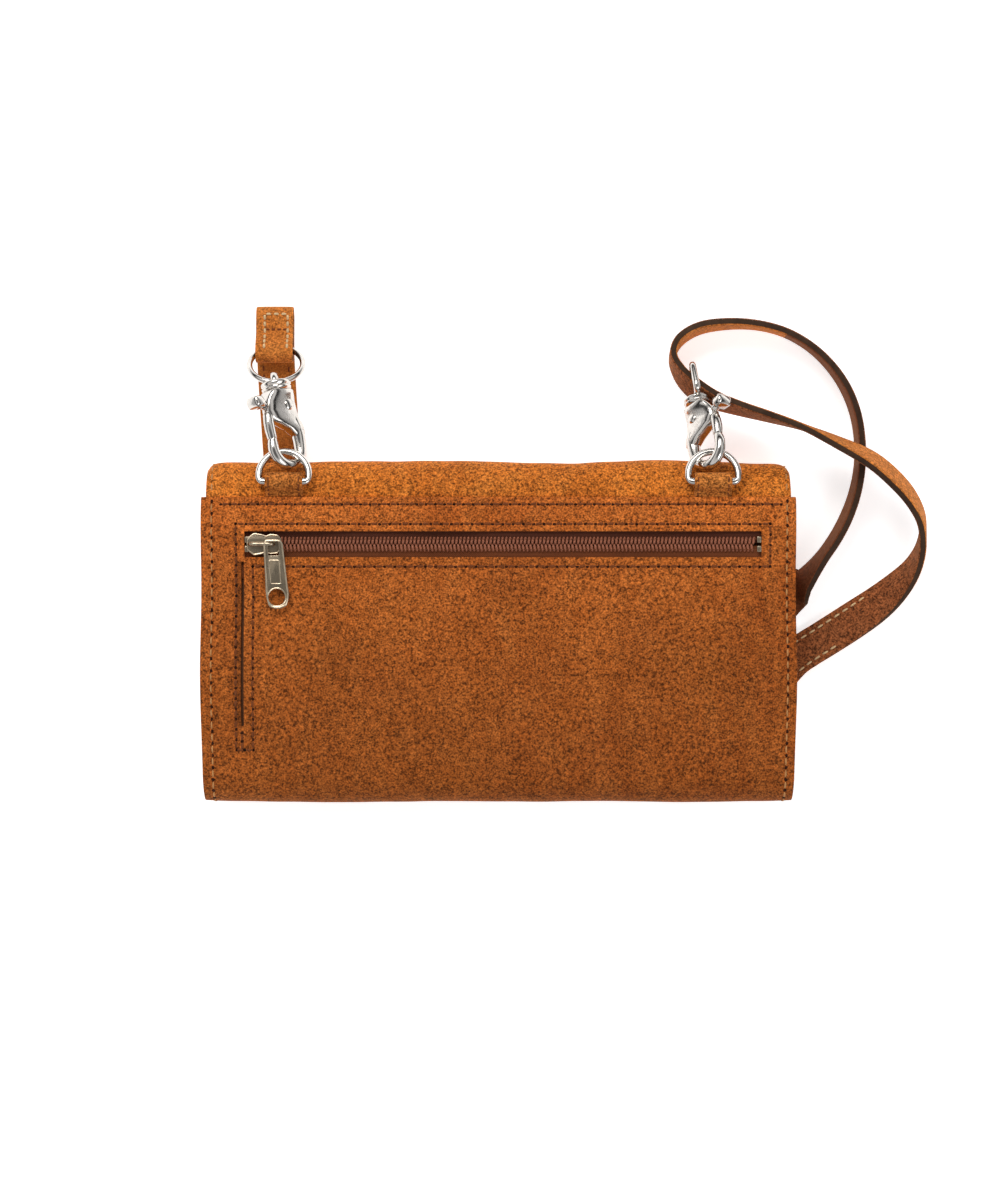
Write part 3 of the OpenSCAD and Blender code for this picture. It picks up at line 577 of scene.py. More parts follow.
# a darker copy of the strap's face: painted shade for the inner face of one run
strapShade = suede("strapShade", (112, 62, 36), (86, 46, 27), (134, 80, 48), Blotch_Scale=50.0,
                   Fibre_Contrast=0.5)
strapReturn = suede("strapReturn", (182, 108, 46), (152, 84, 32), (200, 128, 64), Blotch_Scale=50.0,
                    Fibre_Contrast=0.7)
strapPaint = suede("strapPaint", (66, 48, 36), (44, 32, 25), (88, 66, 50), Blotch_Scale=90.0,
                   Fibre_Contrast=0.12)
innerSuede = suede("innerSuede", (150, 92, 48), (122, 70, 34), (172, 112, 64), Blotch_Scale=30.0,
                   Fibre_Contrast=0.15)
liningCloth = cloth("liningCloth", (98, 62, 40), (78, 48, 30))
# a darker copy of the tape cloth for the upper tape: painted shadow under the window's top edge; the coin
# zip's tape uses it too
tapePaintedShade = cloth("tapePaintedShade", (86, 42, 24), (64, 30, 17), 1500.0)
tapeLower = cloth("tapeLower", (122, 66, 33), (94, 48, 24), 1500.0)
coilNylon = finishOf("coilNylon", weaveGroup, {"Warp": linear(158, 92, 62), "Weft": linear(132, 74, 48),
                                              "Threads Per Metre": 900.0, "Unevenness": 0.15}, 0.2, 0.05,
                     {"Specular IOR Level": 0.6, "Coat Weight": 0.35, "Coat Roughness": 0.3})
threadTan = cloth("threadTan", (206, 150, 92), (180, 124, 70), 3000.0)
threadDark = cloth("threadDark", (132, 70, 28), (106, 54, 22), 3000.0)
threadCream = cloth("threadCream", (226, 196, 150), (204, 170, 122), 3000.0)
holeShade = suede("holeShade", (52, 24, 12), (40, 18, 9), (62, 30, 14))
nickel = metalFinish("nickel", (214, 209, 203), (150, 140, 130), 0.25, 0.1, 0.24)
oldNickel = metalFinish("oldNickel", (186, 170, 146), (104, 88, 70), 0.5, 0.26, 0.46)
print("materials made")


# Strap: the one free cord.

# place in mm, then how far the strap's width is turned up from flat, in degrees
strap = dict(width=12.7, thickness=2.4, corner=0.55, crown=0.08, route=[
    [-75.8, 105.8, 1.2, 0], [-75.8, 94, 1.2, 0], [-75.1, 81, 1.2, 0], [-74.3, 69, 1.2, 0],
    [-73.5, 57, 1.2, 0], [-73, 45, 1.2, 0], [-72, 32, 1.2, 0], [-69, 16, 1.2, 0], [-64, 0, 1.2, 0],
    [-56, -16, 1.2, 0], [-44, -30, 1.2, 0], [-30, -39, 1.2, 0], [-14, -44.5, 1.2, 0],
    [4, -46.5, 1.2, 0], [22, -47, 1.2, 0], [40, -46.5, 1.2, 0], [57, -43.5, 1.2, 0],
    [72, -37, 1.2, 0], [84.5, -27, 1.2, 0], [93.5, -17, 1.2, 0], [99.8, -9.8, 1.2, 0],
    [105, -6, 1.3, 4], [110.8, -2.4, 1.8, 8], [120, 3.6, 3.4, 16], [129, 10, 5.2, 34],
    [136.2, 16.8, 6.8, 56], [140.8, 23.2, 8.2, 76], [143.1, 30.4, 10, 92], [142.5, 38, 12.6, 104],
    [138.6, 45.2, 15.4, 112], [132.4, 51.8, 18, 115], [124.4, 58, 20, 113], [113, 63.8, 20.2, 104],
    [102, 68.8, 18.4, 94], [91, 72.4, 15.8, 86], [81, 75.4, 13.4, 80], [73, 78.2, 12, 74],
    [66.4, 81.9, 11.1, 69], [61.4, 87, 9.6, 78], [59, 93, 7.8, 90], [61.2, 98.6, 6.8, 97],
    [68, 102.8, 6.6, 97], [78, 104.3, 6.6, 94], [88, 103.8, 6.6, 91], [97.5, 101.2, 6.6, 90],
    [106, 96.2, 6.6, 90], [112.8, 89.6, 6.6, 91], [117.8, 82, 6.6, 92], [121, 73.5, 6.6, 92],
    [122.4, 64.2, 6.5, 92], [122.2, 55, 6.5, 93], [120.4, 46, 6.5, 95], [117.4, 38, 6.5, 97],
    [113.6, 31, 6.5, 98], [109.2, 24.8, 6.5, 100], [104.6, 18.9, 6.38, 112],
    [103.1, 17.1, 5.88, 126], [101.8, 15.6, 4.74, 144], [100.7, 14.3, 3.34, 160],
    [99.7, 13, 2.11, 172], [98.5, 11.7, 1.53, 177], [97.3, 10.4, 1.2, 180], [95.4, 8.2, 1.2, 180],
    [90, 2, 1.2, 180], [83, -5.4, 1.2, 180], [75, -13, 1.2, 180], [66, -21, 1.2, 180],
    [58, -27.5, 1.2, 180], [50.5, -31.2, 1.3, 180], [44, -32.8, 2.5, 180], [38, -33.6, 3.8, 180],
    [30, -36.5, 3.8, 180], [20, -41, 3.8, 180], [8, -44.8, 3.8, 180], [-6, -45.6, 3.8, 180]])


def strapFrames(curve):
    # the width starts flat beside the path and is turned up round it by the route's angle
    centres = curve[:, :3]
    ahead = unit(np.gradient(centres, axis=0))
    flat = unit(np.column_stack([ahead[:, 1], -ahead[:, 0], np.zeros(len(ahead))]))
    up = np.cross(flat, ahead)
    turn = np.radians(curve[:, 3:4])
    wide = flat * np.cos(turn) + up * np.sin(turn)
    return centres, wide, np.cross(ahead, wide)


rowsPerPoint = 5
strapCurve = smoothPath(strap["route"], rowsPerPoint)
strapCurve[:, 2] = np.maximum(strapCurve[:, 2], strap["thickness"] / 2 + 0.02)
strapCentres, strapWide, strapThick = strapFrames(strapCurve)
strapSteps = stepsOf(strapCentres)
strapSection, strapMarks = barSection(strap["width"] / 2, strap["thickness"] / 2, strap["corner"],
                                      strap["crown"])
strapPiece = sweepPiece("wristStrap", strapCentres, strapWide, strapThick, strapSection,
                        [strapFace, strapReverse, strapPaint, strapShade, strapReturn], strapMarks)


def remark(piece, cols, marks):
    # new material numbers for parts of the strap: each is (from row, to row, old mark, new mark)
    old = np.zeros(len(piece.data.polygons), np.int32)
    piece.data.polygons.foreach_get("material_index", old)
    row = np.arange(len(old)) // cols
    for low, high, was, now in marks:
        old[(row >= low) & (row < high) & (old == was)] = now
    piece.data.polygons.foreach_set("material_index", old)


# rows up to returnTo: the reverse gets strapReturn; rows innerFrom to innerTo: the face gets strapShade,
# painted shade
returnTo, innerFrom, innerTo = 5 * rowsPerPoint, 44 * rowsPerPoint, 62 * rowsPerPoint
remark(strapPiece, len(strapMarks), [(0, returnTo, 1, 4), (innerFrom, innerTo, 0, 3)])
setPiece(strapPiece, "wallet", "strap_leather", "strap_return", "strap_under", "strap_wrist", "strap_tail")

# the sewn end: the strap bent up from the table, folded round the ring's wire and back under itself
strapEnd = dict(thickness=2.2, turns=[
    [105.8, 1.3], [108, 1.8], [109.3, 3.7], [108, 5.6], [105.8, 6.15], [101.5, 6.3], [98.8, 7.6], [96.6, 9.8],
    [94.4, 10.4], [92.5, 9.1], [92.3, 6.9], [94, 5], [96.6, 3.85], [100, 3.72], [103.6, 3.72]])
endCurve = smoothPath(strapEnd["turns"], 5)
endCentres = np.column_stack([np.full(len(endCurve), strap["route"][0][0]), endCurve])
endAhead = unit(np.gradient(endCentres, axis=0))
endWide = np.tile([1.0, 0, 0], (len(endCentres), 1))
endThick = np.cross(endWide, endAhead)
endSection, endMarks = barSection(strap["width"] / 2, strapEnd["thickness"] / 2, 0.5, 0.05)
endPiece = sweepPiece("strapEndFold", endCentres, endWide, -endThick, endSection,
                      [strapFace, strapReverse, strapPaint], endMarks)
setPiece(endPiece, "wallet", "strap_leather", "strap_end")


def onStrap(fromStep, toStep, across, side):
    # points and normals of a seam along the strap, on its face (side 1) or its reverse (side -1)
    s = np.arange(fromStep, toStep, 1.0)
    normal = unit(readAlong(s, strapSteps, strapThick)) * side
    middle, wide = readAlong(s, strapSteps, strapCentres), readAlong(s, strapSteps, strapWide)
    return middle + wide * across + normal * (strap["thickness"] / 2 + 0.04), normal


def stepNear(x, y):
    # how far along the strap it passes nearest to a place
    return strapSteps[np.argmin(np.hypot(strapCentres[:, 0] - x, strapCentres[:, 1] - y))]


seam = dict(inset=2.1, pitch=3.3, length=2.4, radius=0.32)
leaves = stepNear(99.8, -9.8)
edgeRow = strap["width"] / 2 - seam["inset"]
tailRows = [onStrap(leaves - 30, leaves + 34, -edgeRow, -1), onStrap(leaves - 30, leaves + 17, edgeRow, -1)]
strapStitches = sew("strapStitches", tailRows, seam["pitch"], seam["length"], seam["radius"], threadCream,
                    slot="strap_leather")
returnRows = [onStrap(6, 74, across, -1) for across in (-edgeRow, edgeRow)]
returnStitches = sew("returnStitches", returnRows, 3.0, 1.9, 0.3, threadDark, slot="strap_leather")


def onEnd(fromRow, toRow, across):
    # a seam along the fold's top: its points sit on the surface of those rows
    rows = np.arange(fromRow, toRow + 1)
    normal = -endThick[rows]
    return endCentres[rows] + endWide[rows] * across + normal * (strapEnd["thickness"] / 2 + 0.08), normal


def acrossEnd(row, left, right):
    # a seam straight across the fold's top at one row
    at = endCentres[row] - endThick[row] * (strapEnd["thickness"] / 2 + 0.08)
    return [at + endWide[row] * left, at + endWide[row] * right], -endThick[row]


endColumns = (-3.3, 4.4)
endRows = [onEnd(17, 38, endColumns[0]), onEnd(17, 38, endColumns[1]), acrossEnd(17, *endColumns)]
endStitches = sew("strapEndStitches", endRows, 2.3, 1.85, 0.42, threadCream, slot="strap_leather")
endDarkStitches = sew("strapEndDarkStitches", [acrossEnd(24, *endColumns)], 2.0, 1.4, 0.32, threadDark,
                      slot="strap_leather")
print("strap made: %.0f mm long" % strapSteps[-1])


# Wallet: one piece of suede from the back's top edge, round the bottom fold, up to the front's edge.

wallet = dict(halfWidth=99.5, edgeY=45.2, foldY=-47.25, foldZ=14.85, foldR=9.75, frontY=33.0,
              window=(-84.8, 87.8, 25.1, 33.7), slit=(-86.0, -85.0, -31.2, 23.5), thickness=1.3,
              slitMiddle=-4.0, slitReach=29.0, slitLine=-85.5, topHem=42.8, sideSeam=95.9, wave=0.28)
foldStart = wallet["edgeY"] - wallet["foldY"]
foldEnd = foldStart + math.pi * wallet["foldR"]
shellEnd = foldEnd + wallet["frontY"] - wallet["foldY"]
frameRows = dict(left=-87.7, right=90.7, top=36.2, low=22.0, inner=-82.0, bottom=-39.2)


def sideInset(y):
    # how far each side draws in: a little at the top and bottom, with soft corners
    t = np.clip(np.abs(y) / 57, 0, 1)
    return 0.1 + 1.0 * t ** 4 + 0.25 * np.sin(y * 0.11)


def rowDip(x, y, rows, width=0.8):
    # the leather sinks beside each seam: the depth falls as a bell curve from the nearest row
    dip = np.zeros_like(x)
    for kind, at, lo, hi in rows:
        gap, along = (x - at, y) if kind == "x" else (y - at, x)
        inside = 1 / (1 + np.exp(-(along - lo + 1) * 2)) / (1 + np.exp((along - hi - 1) * 2))
        dip = np.maximum(dip, np.exp(-(gap / width) ** 2) * inside)
    return dip


seamRows = [("x", -wallet["sideSeam"], -60, 45), ("x", wallet["sideSeam"] + 0.5, -60, 45),
            ("y", wallet["topHem"], -93, 95), ("y", frameRows["top"], frameRows["left"], frameRows["right"]),
            ("y", frameRows["low"], frameRows["inner"], frameRows["right"]),
            ("x", frameRows["left"], frameRows["bottom"], frameRows["top"]),
            ("x", frameRows["inner"], frameRows["bottom"], frameRows["low"]),
            ("x", frameRows["right"], frameRows["low"], frameRows["top"])]


def shellPoint(x, s):
    # s runs down the back, round the fold as a half circle, and up the front; waves, seams, the slit and
    # the sides move the surface along its normal
    turn = np.clip((s - foldStart) / wallet["foldR"], 0, math.pi)
    y = np.where(s < foldStart, wallet["edgeY"] - s,
                 np.where(s < foldEnd, wallet["foldY"] - wallet["foldR"] * np.sin(turn),
                          wallet["foldY"] + (s - foldEnd)))
    z = wallet["foldZ"] + wallet["foldR"] * np.cos(turn)
    normal = np.stack([np.zeros_like(x), -np.sin(turn), np.cos(turn)], axis=-1)
    flat = np.stack([x, y, z], axis=-1)
    back = np.clip((foldStart + 6 - s) / 12, 0, 1)
    wave = wallet["wave"] * (softWaves(flat, 55, 3) + 0.35 * softWaves(flat, 17, 5))
    dip = rowDip(x, y, seamRows) * back * 0.34
    fromMiddle = y - wallet["slitMiddle"]
    bySlit = np.abs(fromMiddle) < wallet["slitReach"]
    fade = np.cos(np.clip(fromMiddle / wallet["slitReach"], -1, 1) * math.pi / 2)
    sunk = -0.9 * np.exp(-((x - wallet["slit"][0] + 0.3) / 1.3) ** 2)
    groove = sunk * (x < wallet["slitLine"]) * bySlit * fade ** 0.5 * back
    raised = 0.5 * np.exp(-((x - wallet["slit"][1] - 1.6) / 2.2) ** 2)
    lip = raised * (x > wallet["slitLine"]) * bySlit * fade * back
    hem = -0.35 * np.exp(-(s / 1.2) ** 2)
    edge = np.clip(np.abs(x) / wallet["halfWidth"], 0, 1)
    drop = -0.5 * edge ** 16
    x = x - np.sign(x) * sideInset(y) * edge ** 6
    point = np.stack([x, y, z], axis=-1)
    return point + normal * (wave * (0.5 + 0.5 * back) - dip + groove + lip + hem + drop)[..., None]


def stepAt(y):
    # how far down the back a place is from the top edge
    return wallet["edgeY"] - y


window, slit = wallet["window"], wallet["slit"]
shellX = gridLines([-99.5, -97, -93.5, -89, slit[0], slit[1], window[0], -81, -60, 60, window[1], 92.5, 93.7,
                    97.3, 99.5],
                   [0.7, 0.5, 1.1, 0.55, 0.6, 0.5, 0.6, 1.5, 1.7, 1.6, 0.7, 1.0, 0.5, 0.7])
shellS = gridLines([0, stepAt(44), stepAt(41.5), stepAt(37.4), stepAt(35), stepAt(window[3]),
                    stepAt(window[2]), stepAt(23.5),
                    stepAt(20.8), stepAt(slit[2]), stepAt(-37.8), stepAt(-40.6), foldStart, foldEnd,
                    shellEnd],
                   [0.5, 0.5, 1.0, 0.5, 0.8, 1.5, 0.8, 0.5, 1.7, 1.5, 0.6, 1.5, 1.0, 2.4])
shell = gridPiece("suedeShell", shellX, shellS, shellPoint, [suedeBack], wallet["thickness"],
                  cuts=[(left, right, stepAt(high), stepAt(low)) for left, right, low,
                        high in (window, slit)])
setPiece(shell, "wallet", "suede", "back_panel", "front_panel")

# places where the nap is darker (above 0) or lighter (below 0): centre, reach and amount
wear = [(-53, -9, 13, 0.2), (7, 11, 13, 0.12), (60, -6, 16, 0.14), (78, -12, 12, 0.12), (-20, -35, 22, 0.1),
        (-60, -42, 18, 0.06)]


def addWearAndPaintedLight(piece, spots):
    # each spot falls off as a bell curve; the strip above the zip is lighter, partly the nap's own tone and
    # partly painted light from above, and the slit's left side is darker, painted shade in the slit's groove
    count = len(piece.data.vertices)
    points = np.zeros(count * 3)
    piece.data.vertices.foreach_get("co", points)
    x, y, z = (points.reshape(-1, 3) / mm).T
    amount = sum(a * np.exp(-((x - cx) ** 2 + (y - cy) ** 2) / r ** 2) for cx, cy, r, a in spots)
    # partly painted light: the strip above the zip is lightened
    amount -= 0.16 / (1 + np.exp(-(y - 34.5) * 1.5)) * (z > 20)
    inSlit = (np.abs(y + 4) < 28) * (z > 20)
    # painted shade: the slit's groove is darkened on its left side
    amount += 0.45 * np.exp(-((x + 86.6) / 1.1) ** 2) * inSlit
    held = piece.data.attributes.new("wearAndPaintedLight", "FLOAT", "POINT")
    held.data.foreach_set("value", amount.astype(np.float32))


addWearAndPaintedLight(shell, wear)


def seamLine(points, lift=0.02, step=1.5):
    # a seam laid on the back: its points run straight between corners and follow the leather's surface
    corners = np.asarray(points, float)
    parts = []
    for a, b in zip(corners, corners[1:]):
        count = max(2, int(np.linalg.norm(b - a) / step))
        parts.append(a + (b - a) * np.linspace(0, 1, count, endpoint=False)[:, None])
    flat = np.vstack(parts + [corners[-1:]])
    at = shellPoint(flat[:, 0], stepAt(flat[:, 1]))
    beside = shellPoint(flat[:, 0], stepAt(flat[:, 1]) + 0.5)
    side = shellPoint(flat[:, 0] + 0.5, stepAt(flat[:, 1]))
    normal = unit(np.cross(beside - at, side - at))
    return at + normal * lift, normal


def roundSeam(x, fromStep, toStep):
    # a side seam that goes on round the bottom fold
    s = np.arange(fromStep, toStep, 1.2)
    flat = np.full_like(s, x)
    at = shellPoint(flat, s)
    normal = unit(np.cross(shellPoint(flat, s + 0.5) - at, shellPoint(flat + 0.5, s) - at))
    return at + normal * 0.02, normal


backSeams = dict(sidePitch=4.0, sideLength=2.6, sideRadius=0.3, hemPitch=3.1, framePitch=3.4, darkRadius=0.38,
                 frontRun=70.0)
sideRows = [roundSeam(x, 1.5, foldEnd + backSeams["frontRun"])
            for x in (-wallet["sideSeam"], wallet["sideSeam"] + 0.5)]
sew("sideStitches", sideRows, backSeams["sidePitch"], backSeams["sideLength"], backSeams["sideRadius"],
    threadTan)
hemRows = [seamLine([[-92.8, wallet["topHem"]], [94.4, wallet["topHem"]]])]
sew("hemStitches", hemRows, backSeams["hemPitch"], 2.1, backSeams["darkRadius"], threadDark)
frameCorners = [[frameRows[across], frameRows[up]] for across, up in (
    ("left", "top"), ("right", "top"), ("right", "low"), ("inner", "low"), ("inner", "bottom"),
    ("left", "bottom"))]
frameLoop = [seamLine(pair) for pair in zip(frameCorners, frameCorners[1:] + frameCorners[:1])]
frameLoop.append(seamLine([[-85.6, -33.5], [-85.6, frameRows["bottom"]]]))
sew("frameStitches", frameLoop, backSeams["framePitch"], 2.3, backSeams["darkRadius"], threadDark)


def holeDots(name, rows, pitch, radius):
    # needle holes: a small flat dark bead at the end of every thread, painted shade for the hole's depth
    turn = wholeTurn(8)
    rings = np.array([[0.15, 0.16], [0.7, 0.12], [1.0, -0.02], [0.7, -0.16], [0.15, -0.2]]) * radius
    template = ringFaces(len(rings), len(turn), False)
    size = len(rings) * len(turn)
    points, faces, start = [], [], 0
    for line, normal in rows:
        steps = stepsOf(line)
        gaps = max(1, int(round(steps[-1] / pitch)))
        where = np.arange(gaps + 1) * steps[-1] / gaps
        at, up = readAlong(where, steps, line), readAlong(where, steps, normal)
        side = unit(np.cross(up, unit(np.broadcast_to(line[-1] - line[0], at.shape))))
        ahead = unit(np.cross(side, up))
        around = np.cos(turn)[:, None] * side[:, None, None] + np.sin(turn)[:, None] * ahead[:, None, None]
        bead = rings[:, None, :1] * around + rings[:, None, 1:] * unit(up)[:, None, None]
        points.append((at[:, None, None] + bead).reshape(-1, 3))
        faces += repeatFaces(template, size, start, gaps + 1)
        start += size * (gaps + 1)
    return addMesh(name, np.vstack(points), faces, [holeShade])


for name, rows, pitch, radius in (("sideHoles", sideRows, backSeams["sidePitch"], 0.66),
                                  ("frameHoles", frameLoop, backSeams["framePitch"], 0.62),
                                  ("hemHoles", hemRows, backSeams["hemPitch"], 0.6)):
    setPiece(holeDots(name, rows, pitch, radius), "wallet", "suede")
print("shell and its seams made")


# Spine and flap: one piece of suede, bent at the flap's hinge.

spine = dict(centreY=46.65, centreZ=12.95, radius=10.35, tuckY=38.6, halfWidth=97.7, flapHalf=94.5,
             flapEnd=-23.35,
             cornerR=12.0, thickness=1.3)
spineTuck = spine["centreY"] - spine["tuckY"]
spineArc = math.pi * spine["radius"]
spineLength = spineTuck + spineArc + spine["centreY"] - spine["flapEnd"]


def spinePoint(x, s):
    # s runs under the back's edge, round the spine as a half circle, and down the flap to its round corners
    turn = np.clip((s - spineTuck) / spine["radius"], 0, math.pi)
    y = np.where(s < spineTuck, spine["tuckY"] + s,
                 np.where(s < spineTuck + spineArc, spine["centreY"] + spine["radius"] * np.sin(turn),
                          spine["centreY"] - (s - spineTuck - spineArc)))
    z = spine["centreZ"] + spine["radius"] * np.cos(turn)
    onFlap = np.clip((s - spineTuck - spineArc * 0.8) / 14, 0, 1)
    onFlap = onFlap * onFlap * (3 - 2 * onFlap)
    half = spine["halfWidth"] + (spine["flapHalf"] - spine["halfWidth"]) * onFlap
    left = np.clip(spineLength - s, 0, spine["cornerR"])
    reach = spine["cornerR"] ** 2 - (spine["cornerR"] - left) ** 2
    cornerCut = spine["cornerR"] - np.sqrt(np.maximum(reach, 0))
    side = np.abs(x)
    x = x * (half - cornerCut)
    normal = np.stack([np.zeros_like(x), np.sin(turn), np.cos(turn)], axis=-1)
    flat = np.stack([x, y, z], axis=-1)
    wave = (0.4 * softWaves(flat, 60, 11) + 0.12 * softWaves(flat, 14, 12)) * (1 - 0.8 * onFlap)
    wave = wave * np.clip((s - 4) / 8, 0, 1)
    corner = -2.6 * side ** 70 * np.sin(turn) - 0.3 * side ** 14
    sag = 0.5 * np.sin(turn) * (1 - side ** 4)
    return flat + normal * ((wave + corner + sag) * (1 - onFlap))[..., None]


spineX = gridLines([-1, -0.94, 0.94, 1], [0.01, 0.018, 0.01])
spineS = gridLines([0, spineTuck, spineTuck + spineArc, spineTuck + spineArc + 12, spineLength - 13,
                    spineLength],
                   [1.6, 0.9, 0.9, 2.4, 0.9])
spineFlap = gridPiece("spineAndFlap", spineX, spineS, spinePoint, [suedeSpine], spine["thickness"], flip=True)
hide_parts("spine_leather", "flap_leather")
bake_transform(spineFlap)


def spineRow(x, lo, hi):
    # a seam down the spine or flap, at one share of its half width
    s = np.arange(lo, hi, 1.2)
    flat = np.full_like(s, x)
    at = spinePoint(flat, s)
    normal = unit(np.cross(spinePoint(flat + 0.004, s) - at, spinePoint(flat, s + 0.4) - at))
    return at + normal * 0.02, normal


spineSideRows = [spineRow(x, spineTuck, spineTuck + spineArc * 0.85) for x in (-0.98, 0.985)]
flapRows = [spineRow(x, spineTuck + spineArc + 6, spineLength - 13) for x in (-0.965, 0.965)]
for name, rows, body in (("spineStitches", spineSideRows, "wallet"), ("flapStitches", flapRows, "flap")):
    sew(name, rows, backSeams["sidePitch"], backSeams["sideLength"], backSeams["sideRadius"], threadTan, body)
print("spine and flap made")


# Zip.

zipRun = dict(y=29.4, coilZ=23.86, pitch=1.27, toothRadius=0.5, reach=2.45, left=-83.2, right=86.2)


def flatPoint(z, wave, seed):
    # the surface of a flat leaf at one height, raised and lowered by a slight wave
    def pointOf(x, y):
        flat = np.stack([x, y, np.full_like(x, z)], axis=-1)
        return flat + np.array([0, 0, 1.0]) * (wave * softWaves(flat, 30, seed))[..., None]
    return pointOf


def tapePiece(name, node, material):
    # a zip tape in its node's place
    lo, hi = boxOf(node)
    xs, ys = gridLines([lo[0], hi[0]], [2.0]), gridLines([lo[1], hi[1]], [0.9])
    piece = gridPiece(name, xs, ys, flatPoint(hi[2], 0.03, 21), [material], hi[2] - lo[2], bevel=0.1,
                      flip=True)
    setPiece(piece, "wallet", "zip_tape", node)


tapePiece("upperTape", "zip_tape_upper", tapePaintedShade)
tapePiece("lowerTape", "zip_tape_lower", tapeLower)


def coilTeeth(name, node, side, y, z, left, right, pitch, reach, radius):
    # one row of the coil: a short slanted loop of nylon at every pitch, arched over the tape
    count = int((right - left) / pitch)
    first = left + (0.5 if side > 0 else 0.0) * pitch
    along = np.linspace(0, 1, 8)
    arch = radius * 0.55 * np.sin(along * math.pi) - 0.1
    path = np.column_stack([0.42 * (along - 0.5), side * (-0.1 + (reach + 0.1) * along), arch])
    fat = radius * np.array([0.45, 0.85, 1, 1, 1, 1, 0.85, 0.45])
    grid = tubePoints(path, fat, np.array([1.0, 0, 0]), False, 6)
    shifts = np.stack([first + np.arange(count) * pitch, np.full(count, y), np.full(count, z)], axis=-1)
    points = (shifts[:, None, None] + grid[None]).reshape(-1, 3)
    faces = repeatFaces(ringFaces(*grid.shape[:2], False), grid.shape[0] * grid.shape[1], 0, count)
    setPiece(addMesh(name, points, faces, [coilNylon], recalc=True), "wallet", "zip_coil", node)


for name, node, side in (("upperCoil", "zip_coil_upper", 1), ("lowerCoil", "zip_coil_lower", -1)):
    coilTeeth(name, node, side, zipRun["y"], zipRun["coilZ"], zipRun["left"], zipRun["right"],
              zipRun["pitch"], zipRun["reach"], zipRun["toothRadius"])
coilSewing = [([[x, zipRun["y"] + across, 24.42] for x in (zipRun["left"], zipRun["right"])], (0, 0, 1))
              for across in (-1.75, 1.75)]
sew("coilSewing", coilSewing, zipRun["pitch"], 1.0, 0.16, tapeLower, slot="zip_tape")


def bevelPlate(outlines, z, thickness, bevel):
    # a flat plate: closed outlines filled between the outer one and its holes, with bevelled edges
    data = bpy.data.curves.new("plate", "CURVE")
    data.dimensions = "2D"
    data.fill_mode = "BOTH"
    data.extrude = thickness / 2 * mm - bevel * mm
    data.bevel_depth = bevel * mm
    data.bevel_resolution = 2
    data.offset = -bevel * mm
    for outline in outlines:
        line = data.splines.new("POLY")
        line.points.add(len(outline) - 1)
        flat = np.column_stack([np.asarray(outline) * mm, np.zeros(len(outline)), np.ones(len(outline))])
        line.points.foreach_set("co", flat.reshape(-1))
        line.use_cyclic_u = True
    shape = bpy.data.objects.new("plate", data)
    bpy.context.scene.collection.objects.link(shape)
    mesh = bpy.data.meshes.new_from_object(shape.evaluated_get(bpy.context.evaluated_depsgraph_get()))
    points = np.zeros(len(mesh.vertices) * 3)
    mesh.vertices.foreach_get("co", points)
    points = points.reshape(-1, 3) / mm + np.array([0, 0, z])
    faces = [list(p.vertices) for p in mesh.polygons]
    bpy.data.objects.remove(shape)
    bpy.data.curves.remove(data)
    bpy.data.meshes.remove(mesh)
    return points, faces


def roundedOutline(corners, radius, count=5):
    # straight sides with soft corners: each corner is cut back and bridged by a quadratic curve
    corners = np.asarray(corners, float)
    before, after = np.roll(corners, 1, 0), np.roll(corners, -1, 0)
    radius = np.broadcast_to(radius, len(corners))[:, None]
    start = corners + unit(before - corners) * radius
    end = corners + unit(after - corners) * radius
    t = np.linspace(0, 1, count)[None, :, None]
    arcs = (1 - t) ** 2 * start[:, None] + 2 * t * (1 - t) * corners[:, None] + t ** 2 * end[:, None]
    return arcs.reshape(-1, 2)


def circleOutline(x, y, radius, count=32):
    # points round a circle in the flat
    turn = wholeTurn(count)
    return np.column_stack([x + radius * np.cos(turn), y + radius * np.sin(turn)])


def platesAndParts(name, plates, parts, materials):
    # joins bevelled plates and swept parts into one mesh, sharp where faces meet at over 35 degrees
    points, faces = stackParts(plates, parts)
    piece = addMesh(name, points, faces, materials)
    merge = bmesh.new()
    merge.from_mesh(piece.data)
    bmesh.ops.remove_doubles(merge, verts=merge.verts, dist=1e-6)
    bmesh.ops.recalc_face_normals(merge, faces=merge.faces)
    merge.to_mesh(piece.data)
    merge.free()
    piece.data.set_sharp_from_angle(angle=math.radians(35))
    return piece


slider = dict(plateZ=25.13, plateT=0.76, lowerZ=22.2, lowerT=0.6, rimZ=25.45, rimR=0.32, bridgeR=0.74)
sliderTop = roundedOutline([[-83.6, 27.6], [-83.6, 31.3], [-81.4, 32.9], [-78.6, 32.4], [-77.4, 31.9],
                            [-76, 32.6],
                            [-73.6, 32.3], [-72.6, 31.0], [-72.6, 27.8], [-73.6, 26.5], [-76, 26.2],
                            [-77.4, 26.9],
                            [-78.6, 26.4], [-81.4, 25.9]], 0.4)
lowerPlate = roundedOutline([[-83.2, 26.4], [-83.2, 32.4], [-73, 32.4], [-73, 26.4]], 1.6)
bridgePath, bridgeFat = roundedEnds(smoothPath([[-82.6, 29.4, 25.2], [-82.5, 29.4, 26.3], [-81.6, 29.4, 27.0],
                                                [-78.8, 29.4, 27.1], [-76, 29.4, 27.0], [-75.1, 29.4, 26.3],
                                                [-75.0, 29.4, 25.2]], 4), slider["bridgeR"])
sliderRim = np.column_stack([sliderTop, np.full(len(sliderTop), slider["rimZ"])])
sliderPlates = [bevelPlate([sliderTop], slider["plateZ"], slider["plateT"], 0.2),
                bevelPlate([lowerPlate], slider["lowerZ"], slider["lowerT"], 0.15)]
sliderParts = [(tubePoints(bridgePath, bridgeFat, (0, 1, 0), False, 12), False),
               (tubePoints(sliderRim, slider["rimR"], (0, 0, 1), True, 8), True)]
